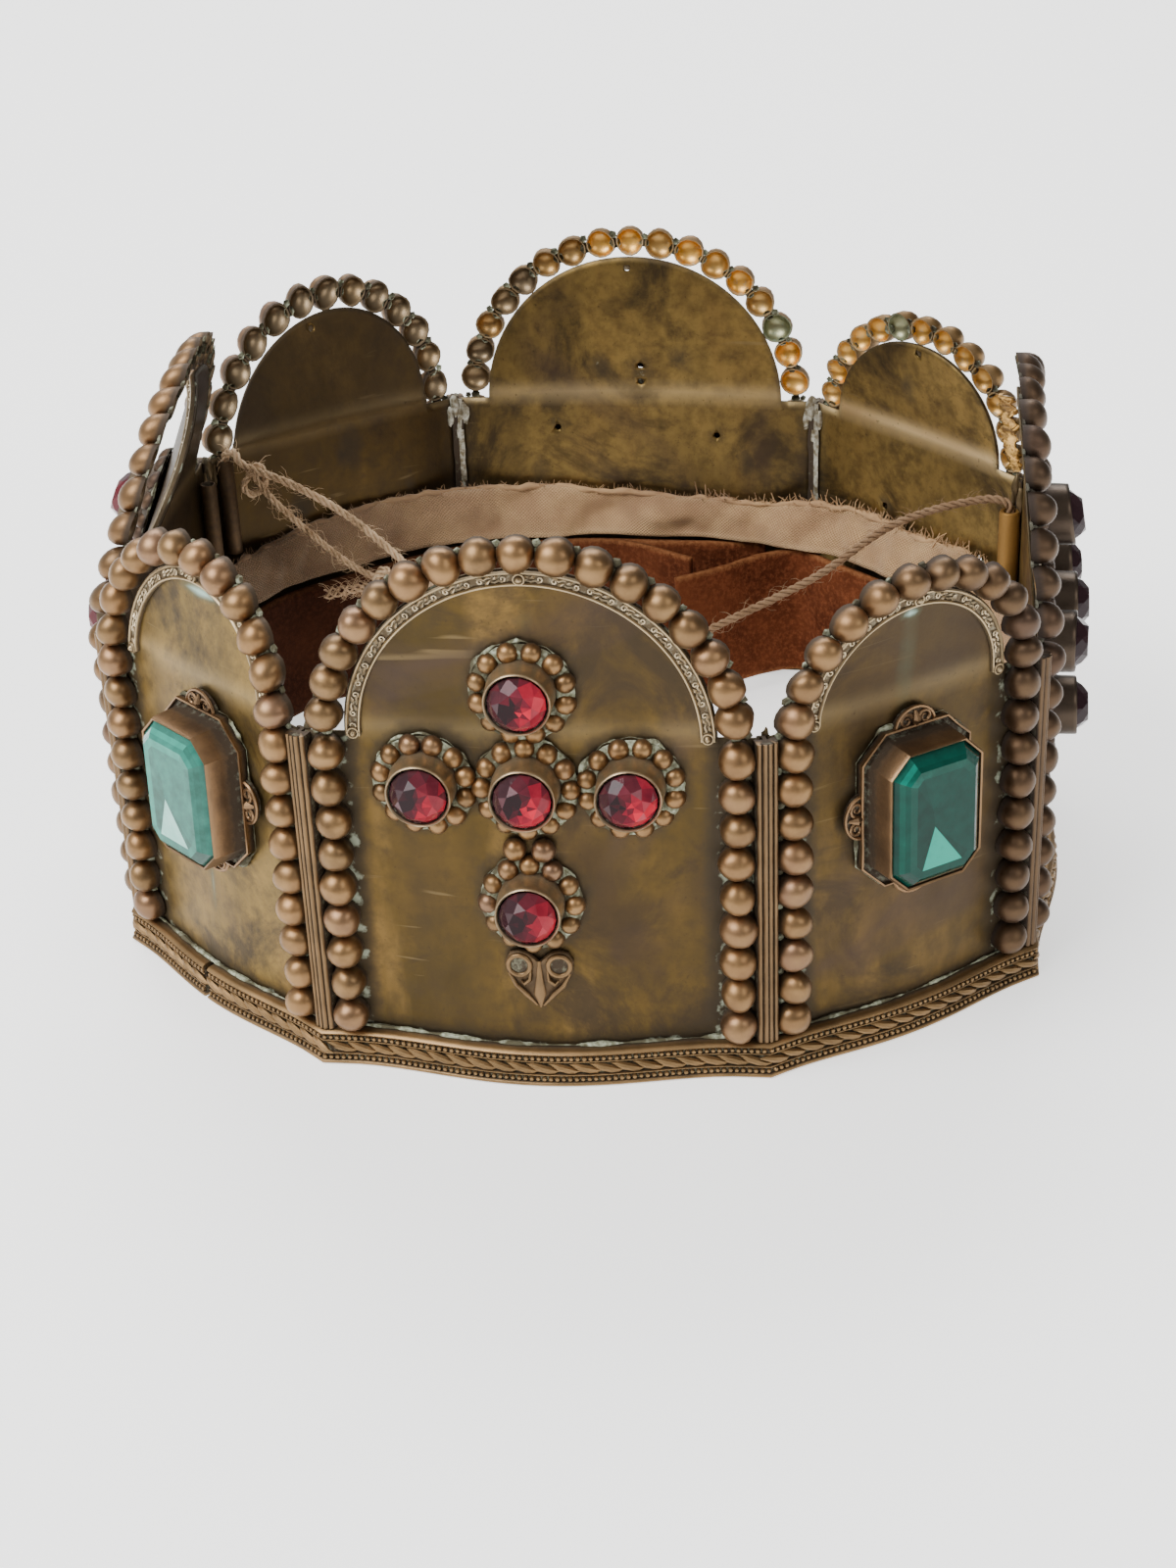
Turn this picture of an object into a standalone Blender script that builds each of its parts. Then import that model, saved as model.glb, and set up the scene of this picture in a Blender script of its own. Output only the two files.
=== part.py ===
"""Costume crown of sheet brass, eight arched panels round an open head hole.

Four wide panels carry a cross of round red stones and four narrow ones a long
green stone. A string of half beads borders every panel, fluted posts hold the
corners, a stamped strip runs round the foot, and a cotton band, a felt band and
a twine lie inside. Lengths are metres, Z is up, and the front panel faces -Y.
The origin is under the middle of the whole crown, on the surface it stands on.
"""
import math
from collections import namedtuple

import bmesh
import bpy
from mathutils import Matrix, Vector

# Plan of the crown
HALF_WIDTH = 0.1140
HALF_DEPTH = 0.1090

# Sheet, arches and the clearance that separate pieces keep
SHEET = 0.0007
CLEARANCE = 0.0003
ARCH_CENTRE_HEIGHT = 0.0880
SHOULDER_RISE = 0.0005
LEAN_RISE = 0.0018
SHOULDER_HEIGHT = ARCH_CENTRE_HEIGHT + SHOULDER_RISE
LEAN_START = SHOULDER_HEIGHT + LEAN_RISE
FOOT_CLEARANCE = 0.0004
WIDE_SWELL = 0.0065
NARROW_SWELL = 0.0030
SWELL_RISE = 0.0470
SWELL_TOP = ARCH_CENTRE_HEIGHT + SWELL_RISE
SWELL_SHARE = 0.90

# Stamped moulding that follows each arch
MOULDING_WIDTH = 0.0035
MOULDING_RISE = 0.0008
MOULDING_EDGE = 0.0003
MOULDING_ROOT = 0.0003
MOULDING_BEVEL_SHARE = 0.5

# Strings of half beads
BEAD_RADIUS = 0.00425
BEAD_HEIGHT = 0.0067
BEAD_INSET = 0.00615
BEAD_LOWEST = 0.0138
BEAD_DROP = 0.0040
BEAD_HIGHEST = ARCH_CENTRE_HEIGHT - BEAD_DROP
BEAD_PITCH = 0.0088
ARCH_BEAD_PITCH = 0.0084
ARCH_BEAD_SPAN = math.radians(82.5)
BEAD_LINK_HALF_WIDTH = 0.0013
BEAD_LINK_HEIGHT = 0.0012
BEAD_SHOULDER_RADIUS_SHARE = 0.76
BEAD_SHOULDER_HEIGHT_SHARE = 0.64

# Foot strip
RIM_HEIGHT = 0.0092
RIM_DEPTH = 0.0041

# Corner posts
POST_DEPTH = 0.0012
POST_RIB = 0.0008
POST_RIBS = 3
POST_STEPS = 9
POST_WEB_HALF = 0.0005
SEAM_DEPTH = 0.0010
SEAM_LEG = 0.0030
TUBE_RADIUS = 0.0023
TUBE_BORE = 0.0034
TUBE_FOOT = 0.0600
TUBE_CUT_SPARE = 0.0020

# Crosses of round stones on the wide panels
CROSS_CENTRE_HEIGHT = 0.0786
CROSS_SIDE_SHIFT = -0.0008
CROSS_TOP_STEP = 0.0229
CROSS_ARM_STEP = 0.0236
CROSS_FOOT_STEP = 0.0303
COLLAR_RADIUS = 0.0122
COLLAR_DEPTH = 0.0022
COLLET_RADIUS = 0.0076
COLLET_HEIGHT = 0.0092
COLLET_BORE = 0.0071
SEAT_DEPTH = 0.0026
MOUNT_CLEARANCE = 0.0004
SOLDER_STEP = 0.0001
RED_STONE_RADIUS = 0.0064
RED_TABLE_RADIUS = 0.0039
RED_GIRDLE_RISE = 0.0019
RED_CROWN_RISE = 0.0031
RED_BASE_SHARE = 0.8
LINK_HALF_WIDTH = 0.0046
FINIAL_LENGTH = 0.0175
FINIAL_HALF_WIDTH = 0.0068
FINIAL_DEPTH = 0.0015
SOLDER_LAP_SHARE = 0.14

# Long green stones on the narrow panels
GREEN_CENTRE_HEIGHT = 0.0625
GREEN_HALF_WIDTH = 0.0122
GREEN_HALF_HEIGHT = 0.0168
GREEN_CORNER = 0.0046
GREEN_TABLE_STEP = 0.0031
GREEN_GIRDLE_RISE = 0.0016
GREEN_CROWN_RISE = 0.0030
GREEN_BASE_SHARE = 0.8
CORNER_GROWTH_SHARE = 0.6
BOX_WALL = 0.0007
BOX_HEIGHT = 0.0105
TRAY_MARGIN = 0.0012
TRAY_DEPTH = 0.0022
LOBE_REACH = 0.0055
LOBE_HALF_LENGTH = 0.0072
LOBE_DEPTH = 0.0016
LOBE_LAP_SHARE = 0.15
LOBE_STEPS = 6

# Cotton band and felt band
COTTON_TOP = 0.0575
COTTON_FOOT = 0.0465
COTTON_TOP_INSET = 0.0032
COTTON_FOOT_INSET = 0.0088
COTTON_THICKNESS = 0.0012
FELT_TOP = 0.0456
FELT_FOOT = 0.0065
FELT_INSET = 0.0105
FELT_THICKNESS = 0.0020

# Twine
TWINE_RADIUS = 0.0012
TWINE_POINTS = 40

# Divisions of the round shapes. The foot strip's stations are some of the sheets' own columns
ARCH_STEPS = 8
CURLED_MOULDING_STEPS = 12
RIM_STATION_ANGLES = (0, 45, 67.5, 90, 112.5, 135, 180)
BEAD_SHOULDER_SIDES = 5
COLLET_SIDES = 8
TUBE_SIDES = 12
STONE_SIDES = 8

# Corners in plan, as shares of the half width and the half depth
CORNERS = {
    "front_left": (-0.4605, -1.0046),
    "front_right": (0.4605, -1.0046),
    "right_front": (1.0000, -0.5872),
    "right_back": (1.0132, 0.4083),
    "back_right": (0.5000, 0.9633),
    "back_left": (-0.4518, 0.9908),
    "left_back": (-1.0219, 0.5000),
    "left_front": (-0.9789, -0.5413),
}

# Each panel as seen from outside: its left and right corners, whether it is wide, how far
# its arch leans inward and slides sideways per unit of height, and how far its sheet has
# curled away from the beads
PanelRow = namedtuple("PanelRow", "name left right wide lean slide curl")
PANEL_ROWS = (
    PanelRow("front", "front_left", "front_right", True, -0.06, 0.00, 0.0),
    PanelRow("front_right", "front_right", "right_front", False, -0.12, 0.00, 0.0),
    PanelRow("right", "right_front", "right_back", True, 0.12, 0.00, 0.0),
    PanelRow("back_right", "right_back", "back_right", False, 0.25, -0.25, 0.0),
    PanelRow("back", "back_right", "back_left", True, 0.00, 0.00, 0.0),
    PanelRow("back_left", "back_left", "left_back", False, -0.40, -0.28, 0.0),
    PanelRow("left", "left_back", "left_front", True, 0.34, 0.00, 1.0),
    PanelRow("front_left", "left_front", "front_left", False, 0.12, 0.00, 0.0),
)
CURL_DEPTH = 0.0140

# Where each green stone sits off its panel's middle: sideways and upward, as shares of the
# stone's half width and half height
GREEN_SHIFTS = {
    "front_right": (0.066, 0.0),
    "back_right": (0.0, 0.0),
    "back_left": (0.0, 0.0),
    "front_left": (0.287, 0.060),
}

# Tubes soldered inside the back corners. Place along the wall from the corner, where minus is
# towards the panel before it, and outer radius are shares of the usual tube radius. The open
# top is a share of the shoulder height
TubeRow = namedtuple("TubeRow", "along radius top")
TUBES = {
    "left_back": (TubeRow(-1.826, 1.0, 1.0), TubeRow(3.043, 1.0, 0.960)),
    "right_back": (TubeRow(0.0, 1.261, 0.904),),
}

# Outline of the foot strip, as shares of its depth and its height
RIM_OUTLINE = ((0.0, 0.0), (0.92, 0.0), (1.0, 0.16), (1.0, 0.62), (0.74, 1.0), (0.0, 1.0))

# Leaf below the cross, as shares of its half width and its length down from the collar
FINIAL_OUTLINE = (
    (0.45, 0.0), (0.85, 0.18), (1.0, 0.36), (0.72, 0.52), (0.66, 0.68), (0.30, 0.86), (0.0, 1.0),
)

# Height of the cotton band's top edge at three places along each panel, as shares of its
# usual height, in the panels' order round the crown
COTTON_HEIGHTS = (
    (1.00, 1.02, 1.00),
    (0.99, 1.00, 1.01),
    (1.00, 0.98, 1.00),
    (1.00, 0.97, 0.98),
    (0.96, 0.95, 1.01),
    (1.02, 1.01, 0.98),
    (0.99, 1.00, 1.01),
    (1.00, 1.01, 1.00),
)
COTTON_STATIONS = 36
WALL_SHARES = (-0.30, 0.0, 0.30)

# Free ends of the felt strip at the back, in plan, as shares of the half width and the
# half depth: the end that stands inward, and the end that lies along the back panel
FELT_INNER_END = ((0.149, 0.670), (0.272, 0.762), (0.365, 0.835), (0.465, 0.868))
FELT_BACK_END = ((-0.360, 0.905), (-0.150, 0.925), (0.060, 0.925), (0.240, 0.918), (0.370, 0.915))
FELT_STATIONS = 44

# The twine's route between the two back corners, chosen by hand, before the whole crown
# is centred on its origin
TWINE_ROUTE = (
    (-0.1099, 0.0557, 0.0830),
    (-0.1099, 0.0557, 0.0880),
    (-0.1090, 0.0552, 0.0906),
    (-0.1062, 0.0535, 0.0914),
    (-0.1030, 0.0513, 0.0884),
    (-0.0890, 0.0500, 0.0830),
    (-0.0729, 0.0500, 0.0728),
    (-0.0543, 0.0500, 0.0547),
    (-0.0360, 0.0498, 0.0350),
    (-0.0160, 0.0494, 0.0225),
    (0.0050, 0.0490, 0.0265),
    (0.0287, 0.0485, 0.0404),
    (0.0580, 0.0480, 0.0570),
    (0.0770, 0.0470, 0.0720),
    (0.0900, 0.0460, 0.0785),
    (0.1025, 0.0448, 0.0822),
    (0.1080, 0.0438, 0.0829),
    (0.1111, 0.0431, 0.0818),
    (0.1116, 0.0430, 0.0790),
    (0.1116, 0.0430, 0.0745),
)


def clear_scene():
    for thing in list(bpy.data.objects):
        bpy.data.objects.remove(thing, do_unlink=True)


def make_collection(name):
    collection = bpy.data.collections.new(name)
    bpy.context.scene.collection.children.link(collection)
    return collection


def make_material(name, colour, roughness, metallic):
    material = bpy.data.materials.new(name)
    material.use_nodes = True
    shader = material.node_tree.nodes["Principled BSDF"]
    shader.inputs["Base Color"].default_value = (*colour, 1.0)
    shader.inputs["Roughness"].default_value = roughness
    shader.inputs["Metallic"].default_value = metallic
    material.diffuse_color = (*colour, 1.0)
    return material


class Panel:
    """One side of the crown, with its own frame: X to the right seen from outside, Y inward."""

    def __init__(self, row):
        self.name = row.name
        self.row = row
        self.start = corner_point(row.left)
        self.end = corner_point(row.right)
        side = self.end - self.start
        self.width = side.length
        self.along = side.normalized()
        self.outward = Vector((self.along.y, -self.along.x))
        self.middle = (self.start + self.end) / 2
        self.swell = WIDE_SWELL if row.wide else NARROW_SWELL
        self.bead_arch = self.width / 2 - BEAD_INSET
        self.sheet_arch = self.bead_arch - BEAD_RADIUS

    def bend(self, across, height):
        """Sideways and outward shift of the sheet at one place on the flat panel."""
        place = 2 * across / (self.width * SWELL_SHARE)
        bulge = self.swell * max(0.0, 1 - place * place) ** 2 * max(0.0, 1 - height / SWELL_TOP)
        rise = max(0.0, height - LEAN_START)
        return self.row.slide * rise, bulge - self.row.lean * rise

    def curl(self, across, height):
        """How far the sheet alone has come away inward from the beads of its right half."""
        side = min(1.0, max(0.0, across / self.sheet_arch))
        lift = max(0.0, height - LEAN_START) / self.sheet_arch
        return self.row.curl * CURL_DEPTH * side * lift

    def point(self, across, height, outward):
        """Place in the panel's own frame of a point on the flat panel."""
        sideways, bulge = self.bend(across, height)
        return Vector((across + sideways, -(bulge + outward), height))

    def world(self, across, height, outward):
        """The same place in the crown's frame."""
        local = self.point(across, height, outward)
        plan = self.middle + self.along * local.x - self.outward * local.y
        return Vector((plan.x, plan.y, local.z))


class Corner:
    """The joint of two neighbouring panels, seen in plan."""

    def __init__(self, name, before, after):
        self.name = name
        self.before = before
        self.after = after
        self.point = corner_point(name)
        self.bisector = (before.outward + after.outward) / (1 + before.outward.dot(after.outward))
        self.slope = abs(before.outward.dot(after.along)) / (1 + before.outward.dot(after.outward))

    def mitre(self, outward):
        return self.point + self.bisector * outward

    def leg(self, outward, along):
        """A point beside the corner, along the panel after it, or before it where along is minus."""
        way = self.after.along if along > 0 else self.before.along
        return self.mitre(outward) + way * along

    def sheet_end(self):
        """How far from the corner the sheets stop, clear of the post's web."""
        return POST_WEB_HALF + CLEARANCE + SHEET * self.slope


def corner_point(name):
    across, depth = CORNERS[name]
    return Vector((across * HALF_WIDTH, depth * HALF_DEPTH))


def loft(bm, rings, closed=False):
    """Skin a row of equal rings. An open row gets a cap at both ends."""
    made = [[bm.verts.new(place) for place in ring] for ring in rings]
    count = len(made[0])
    pairs = list(zip(made, made[1:]))
    if closed:
        pairs.append((made[-1], made[0]))
    for first, second in pairs:
        for index in range(count):
            after = (index + 1) % count
            bm.faces.new((first[index], first[after], second[after], second[index]))
    if not closed:
        bm.faces.new(list(reversed(made[0])))
        bm.faces.new(made[-1])


def direction(angle):
    return Vector((math.cos(angle), math.sin(angle)))


def turned(bm, profile, sides, across, height):
    """A turned solid that stands out from the flat panel. The profile is radius, rise and turn."""
    rings = []
    for radius, rise, turn in profile:
        ways = [direction(turn + 2 * math.pi * index / sides) * radius for index in range(sides)]
        rings.append([(across + way.x, -rise, height + way.y) for way in ways])
    loft(bm, rings)


def bent_to(bm, panel):
    """Bend a shape modelled on the flat panel so that it follows the sheet."""
    for vertex in bm.verts:
        vertex.co = panel.point(vertex.co.x, vertex.co.z, -vertex.co.y)


def stood_on_crest(bm, panel):
    """Stand a stiff shape on the crest of the sheet's swell, without bending it across."""
    for vertex in bm.verts:
        vertex.co.y -= panel.bend(0.0, vertex.co.z)[1]


def finish_mesh(name, bm, closed=True):
    """Make a mesh. An open surface keeps the side its faces were given."""
    if closed:
        bmesh.ops.recalc_face_normals(bm, faces=bm.faces)
    mesh = bpy.data.meshes.new(name)
    bm.to_mesh(mesh)
    bm.free()
    mesh.shade_smooth()
    mesh.set_sharp_from_angle(angle=math.radians(30))
    return mesh


def add_object(name, mesh, collection, parent, material=None):
    thing = bpy.data.objects.new(name, mesh)
    collection.objects.link(thing)
    thing.parent = parent
    if material:
        mesh.materials.append(material)
    return thing


def join_solid(target, other, operation):
    """Join another solid to a part, or cut it out, and keep it hidden beside the parts."""
    change = target.modifiers.new(other.name, "BOOLEAN")
    change.operation = operation
    change.solver = "EXACT"
    change.object = other
    other.hide_render = True
    other.display_type = "WIRE"


def thicken(target, thickness, offset):
    wall = target.modifiers.new("wall", "SOLIDIFY")
    wall.thickness = thickness
    wall.offset = offset
    wall.use_even_offset = True


def sheet_columns(panel, left_end, right_end):
    """Places across a sheet where it is divided: its ends, and even steps round its arch."""
    steps = ARCH_STEPS
    inner = [-panel.sheet_arch * math.cos(math.pi * step / steps) for step in range(steps + 1)]
    return [-panel.width / 2 + left_end] + inner + [panel.width / 2 - right_end]


def make_sheet(panel, left_end, right_end, parts, cutters, parent, material):
    """The arched sheet with its stamped moulding soldered on."""
    bm = bmesh.new()
    heights = (FOOT_CLEARANCE, SHOULDER_HEIGHT)
    columns = []
    for across in sheet_columns(panel, left_end, right_end):
        column = list(heights)
        reach = panel.sheet_arch ** 2 - across ** 2
        if reach > SHEET * SHEET:
            column += [LEAN_START, ARCH_CENTRE_HEIGHT + math.sqrt(reach)]
        places = (panel.point(across, height, -panel.curl(across, height)) for height in column)
        columns.append([bm.verts.new(place) for place in places])
    for left, right in zip(columns, columns[1:]):
        shared = min(len(left), len(right))
        for row in range(shared - 1):
            bm.faces.new((left[row], right[row], right[row + 1], left[row + 1]))
        gable = [left[shared - 1]] + right[shared - 1:] + list(reversed(left[shared:]))
        if len(gable) > 2:
            bm.faces.new(gable)
    mesh = finish_mesh(panel.name, bm, closed=False)
    sheet = add_object(f"panel_{panel.name}", mesh, parts, parent, material)
    thicken(sheet, SHEET, -1.0)

    bm = bmesh.new()
    outer = panel.sheet_arch - MOULDING_EDGE
    inner = outer - MOULDING_WIDTH
    bevel = MOULDING_RISE * MOULDING_BEVEL_SHARE
    section = (
        (outer, -MOULDING_ROOT), (outer - bevel, MOULDING_RISE),
        (inner + bevel, MOULDING_RISE), (inner, -MOULDING_ROOT),
    )
    rings = []
    steps = CURLED_MOULDING_STEPS if panel.row.curl else ARCH_STEPS
    for step in range(steps + 1):
        angle = math.pi * step / steps
        ring = []
        for radius, rise in section:
            across = -radius * math.cos(angle)
            height = ARCH_CENTRE_HEIGHT + radius * math.sin(angle)
            ring.append(panel.point(across, height, rise - panel.curl(across, height)))
        rings.append(ring)
    loft(bm, rings)
    moulding = add_object(f"moulding_{panel.name}", finish_mesh("moulding", bm), cutters, parent)
    join_solid(sheet, moulding, "UNION")


def bead_centres(panel):
    """Centres of the beads: up the left side, over the arch and down the right side."""
    rows = round((BEAD_HIGHEST - BEAD_LOWEST) / BEAD_PITCH)
    heights = [BEAD_LOWEST + (BEAD_HIGHEST - BEAD_LOWEST) * row / rows for row in range(rows + 1)]
    left = [Vector((-panel.bead_arch, height)) for height in heights]
    gaps = round(2 * ARCH_BEAD_SPAN * panel.bead_arch / ARCH_BEAD_PITCH)
    middle = Vector((0, ARCH_CENTRE_HEIGHT))
    arch = []
    for gap in range(gaps + 1):
        angle = ARCH_BEAD_SPAN * (2 * gap / gaps - 1)
        arch.append(middle + direction(math.pi / 2 - angle) * panel.bead_arch)
    right = [Vector((panel.bead_arch, height)) for height in reversed(heights)]
    return left + arch + right


def make_bead_border(panel, parts, parent, material):
    """One fused string of half beads. Neighbours share an edge of their feet and a low saddle."""
    bm = bmesh.new()
    centres = bead_centres(panel)
    count = BEAD_SHOULDER_SIDES
    sides = 2 * count
    shoulder_radius = BEAD_RADIUS * BEAD_SHOULDER_RADIUS_SHARE

    def vertex(place, rise):
        return bm.verts.new(panel.point(place.x, place.y, CLEARANCE + rise))

    saddles = []
    for here, there in zip(centres, centres[1:]):
        middle = (here + there) / 2
        side = (there - here).orthogonal().normalized() * BEAD_LINK_HALF_WIDTH
        feet = (vertex(middle - side, 0), vertex(middle + side, 0))
        saddles.append((*feet, vertex(middle, BEAD_LINK_HEIGHT)))

    for index, centre in enumerate(centres):
        ahead = centres[index + 1] - centre if index + 1 < len(centres) else centre - centres[index - 1]
        behind = centres[index - 1] - centre if index > 0 else -ahead
        half = math.pi / sides
        forward = math.atan2(ahead.y, ahead.x)
        backward = math.atan2(behind.y, behind.x)
        turn = (backward - forward) % (2 * math.pi)
        gaps = count - 1
        angles = [forward + half + (turn - 2 * half) * step / gaps for step in range(count)]
        angles += [backward + half + (2 * math.pi - turn - 2 * half) * step / gaps for step in range(count)]
        foot = [vertex(centre + direction(angle) * BEAD_RADIUS, 0) for angle in angles]
        links = {}
        if index + 1 < len(centres):
            first, second, top = saddles[index]
            bmesh.ops.delete(bm, geom=[foot[0], foot[-1]], context="VERTS")
            foot[-1], foot[0] = first, second
            links[sides - 1] = top
        if index > 0:
            first, second, top = saddles[index - 1]
            bmesh.ops.delete(bm, geom=[foot[count - 1], foot[count]], context="VERTS")
            foot[count - 1], foot[count] = second, first
            links[count - 1] = top
        shoulder = []
        for step in range(count):
            place = centre + direction(forward + 2 * math.pi * step / count) * shoulder_radius
            shoulder.append(vertex(place, BEAD_HEIGHT * BEAD_SHOULDER_HEIGHT_SHARE))
        tip = vertex(centre, BEAD_HEIGHT)
        for side in range(sides):
            after = foot[(side + 1) % sides]
            above = shoulder[((side + 1) // 2) % count]
            if side in links:
                bm.faces.new((foot[side], links[side], above))
                bm.faces.new((links[side], after, above))
            else:
                bm.faces.new((foot[side], after, above))
        for step in range(count):
            following = shoulder[(step + 1) % count]
            bm.faces.new((foot[2 * step + 1], following, shoulder[step]))
            bm.faces.new((shoulder[step], following, tip))
        bm.faces.new(list(reversed(foot)))
    add_object(f"bead_border_{panel.name}", finish_mesh("beads", bm), parts, parent, material)


def make_post(corner, parts, cutters, parent, material):
    """A fluted strip outside the corner, a seam inside it and a thin web between the sheets."""
    tubes = TUBES.get(corner.name, ())
    before = max([SEAM_LEG] + [(tube.radius - tube.along) * TUBE_RADIUS for tube in tubes if tube.along < 0])
    after = max([SEAM_LEG] + [(tube.radius + tube.along) * TUBE_RADIUS for tube in tubes if tube.along > 0])
    half = BEAD_INSET - BEAD_RADIUS - CLEARANCE
    outline = []
    for step in range(POST_STEPS + 1):
        share = step / POST_STEPS
        rib = POST_RIB * abs(math.sin(POST_RIBS * math.pi * share))
        outline.append(corner.leg(CLEARANCE + POST_DEPTH + rib, half * (2 * share - 1)))
    back = -(SHEET + CLEARANCE)
    outline += [
        corner.leg(CLEARANCE, half),
        corner.leg(CLEARANCE, POST_WEB_HALF),
        corner.leg(back, POST_WEB_HALF),
        corner.leg(back, after),
        corner.leg(back - SEAM_DEPTH, after),
        corner.mitre(back - SEAM_DEPTH),
        corner.leg(back - SEAM_DEPTH, -before),
        corner.leg(back, -before),
        corner.leg(back, -POST_WEB_HALF),
        corner.leg(CLEARANCE, -POST_WEB_HALF),
        corner.leg(CLEARANCE, -half),
    ]
    local = [place - corner.point for place in outline]
    bm = bmesh.new()
    levels = (RIM_HEIGHT + CLEARANCE, SHOULDER_HEIGHT)
    loft(bm, [[(place.x, place.y, level) for place in local] for level in levels])
    post = add_object(f"post_{corner.name}", finish_mesh("post", bm), parts, parent, material)
    post.location = (corner.point.x, corner.point.y, 0)

    for number, tube in enumerate(tubes, 1):
        outer = tube.radius * TUBE_RADIUS
        inset = back - outer
        along = tube.along * TUBE_RADIUS
        centre = (corner.leg(inset, along) if along else corner.mitre(inset)) - corner.point
        length = tube.top * SHOULDER_HEIGHT - TUBE_FOOT
        for role, radius, spare in (("tube", outer, 0.0), ("bore", TUBE_BORE / 2, TUBE_CUT_SPARE)):
            bm = bmesh.new()
            place = Matrix.Translation((centre.x, centre.y, TUBE_FOOT + length / 2))
            depth = length + 2 * spare
            bmesh.ops.create_cone(
                bm, cap_ends=True, segments=TUBE_SIDES, radius1=radius, radius2=radius,
                depth=depth, matrix=place,
            )
            other = add_object(f"{role}_{corner.name}_{number}", finish_mesh(role, bm), cutters, parent)
            other.location = post.location
            join_solid(post, other, "UNION" if role == "tube" else "DIFFERENCE")


def make_rim(panels, corners, parts, parent, material):
    """The stamped strip round the foot, mitred at the corners and following each sheet's swell."""
    profile = [(CLEARANCE + depth * RIM_DEPTH, height * RIM_HEIGHT) for depth, height in RIM_OUTLINE]
    rings = []
    for panel in panels:
        corner = corners[panel.row.left]
        rings.append([(*corner.mitre(depth), height) for depth, height in profile])
        for angle in RIM_STATION_ANGLES:
            across = -panel.sheet_arch * math.cos(math.radians(angle))
            rings.append([panel.world(across, height, depth) for depth, height in profile])
    bm = bmesh.new()
    loft(bm, rings, closed=True)
    add_object("foot_strip", finish_mesh("rim", bm), parts, parent, material)


def cross_places():
    """Stone places on a wide panel: name, place across it and height."""
    shift, middle = CROSS_SIDE_SHIFT, CROSS_CENTRE_HEIGHT
    return (
        ("centre", shift, middle),
        ("top", shift, middle + CROSS_TOP_STEP),
        ("left", shift - CROSS_ARM_STEP, middle),
        ("right", shift + CROSS_ARM_STEP, middle),
        ("bottom", shift, middle - CROSS_FOOT_STEP),
    )


def make_cross(panel, parts, cutters, parent, metal, glass):
    """Five collets on collars, soldered together, with a leaf below, and their five stones."""
    base = COLLET_HEIGHT - SEAT_DEPTH + CLEARANCE
    girdle = base + RED_GIRDLE_RISE
    half = math.pi / STONE_SIDES
    stone = (
        (RED_STONE_RADIUS * RED_BASE_SHARE, base, 0.0),
        (RED_STONE_RADIUS, girdle, 0.0),
        (RED_TABLE_RADIUS, girdle + RED_CROWN_RISE, half),
    )
    mount = None
    for layer, (name, across, height) in enumerate(cross_places()):
        step = layer * SOLDER_STEP
        collet = (
            (COLLAR_RADIUS, MOUNT_CLEARANCE + step, 0.0),
            (COLLET_RADIUS, COLLAR_DEPTH + step, 0.0),
            (COLLET_RADIUS, COLLET_HEIGHT, 0.0),
            (COLLET_BORE, COLLET_HEIGHT, 0.0),
            (COLLET_BORE, COLLET_HEIGHT - SEAT_DEPTH, 0.0),
        )
        bm = bmesh.new()
        turned(bm, collet, COLLET_SIDES, across, height)
        bent_to(bm, panel)
        mesh = finish_mesh("collet", bm)
        if mount is None:
            mount = add_object(f"cross_mount_{panel.name}", mesh, parts, parent, metal)
        else:
            join_solid(mount, add_object(f"collet_{panel.name}_{name}", mesh, cutters, parent), "UNION")

        bm = bmesh.new()
        turned(bm, stone, STONE_SIDES, across, height)
        bent_to(bm, panel)
        add_object(f"red_stone_{panel.name}_{name}", finish_mesh("red_stone", bm), parts, parent, glass)

    shift = CROSS_SIDE_SHIFT
    reach = COLLAR_RADIUS * (1 - SOLDER_LAP_SHARE)
    top = CROSS_CENTRE_HEIGHT - reach
    foot = CROSS_CENTRE_HEIGHT - CROSS_FOOT_STEP + reach
    side = LINK_HALF_WIDTH
    link = [(-side, top), (side, top), (side, foot), (-side, foot)]
    leaf_top = CROSS_CENTRE_HEIGHT - CROSS_FOOT_STEP - reach
    half_width, length = FINIAL_HALF_WIDTH, FINIAL_LENGTH
    right_side = [(share * half_width, leaf_top - down * length) for share, down in FINIAL_OUTLINE]
    left_side = [(-across, level) for across, level in reversed(right_side[:-1])]
    leaf = right_side + left_side
    for name, outline in (("link", link), ("finial", leaf)):
        bm = bmesh.new()
        rises = (MOUNT_CLEARANCE + SOLDER_STEP / 2, FINIAL_DEPTH)
        loft(bm, [[(shift + side, -rise, level) for side, level in outline] for rise in rises])
        bent_to(bm, panel)
        other = add_object(f"{name}_{panel.name}", finish_mesh(name, bm), cutters, parent)
        join_solid(mount, other, "UNION")


def cut_corner_outline(half_width, half_height, corner):
    """A rectangle with its four corners cut off, as eight points."""
    inner, upper = half_width - corner, half_height - corner
    return [
        (half_width, -upper), (half_width, upper), (inner, half_height), (-inner, half_height),
        (-half_width, upper), (-half_width, -upper), (-inner, -half_height), (inner, -half_height),
    ]


def cut_corner_solid(bm, steps, across, height):
    """A solid through cut-corner outlines. Each step is an outward growth and a rise."""
    rings = []
    for growth, rise in steps:
        corner = GREEN_CORNER + CORNER_GROWTH_SHARE * growth
        outline = cut_corner_outline(GREEN_HALF_WIDTH + growth, GREEN_HALF_HEIGHT + growth, corner)
        rings.append([(across + side, -rise, height + level) for side, level in outline])
    loft(bm, rings)


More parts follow.
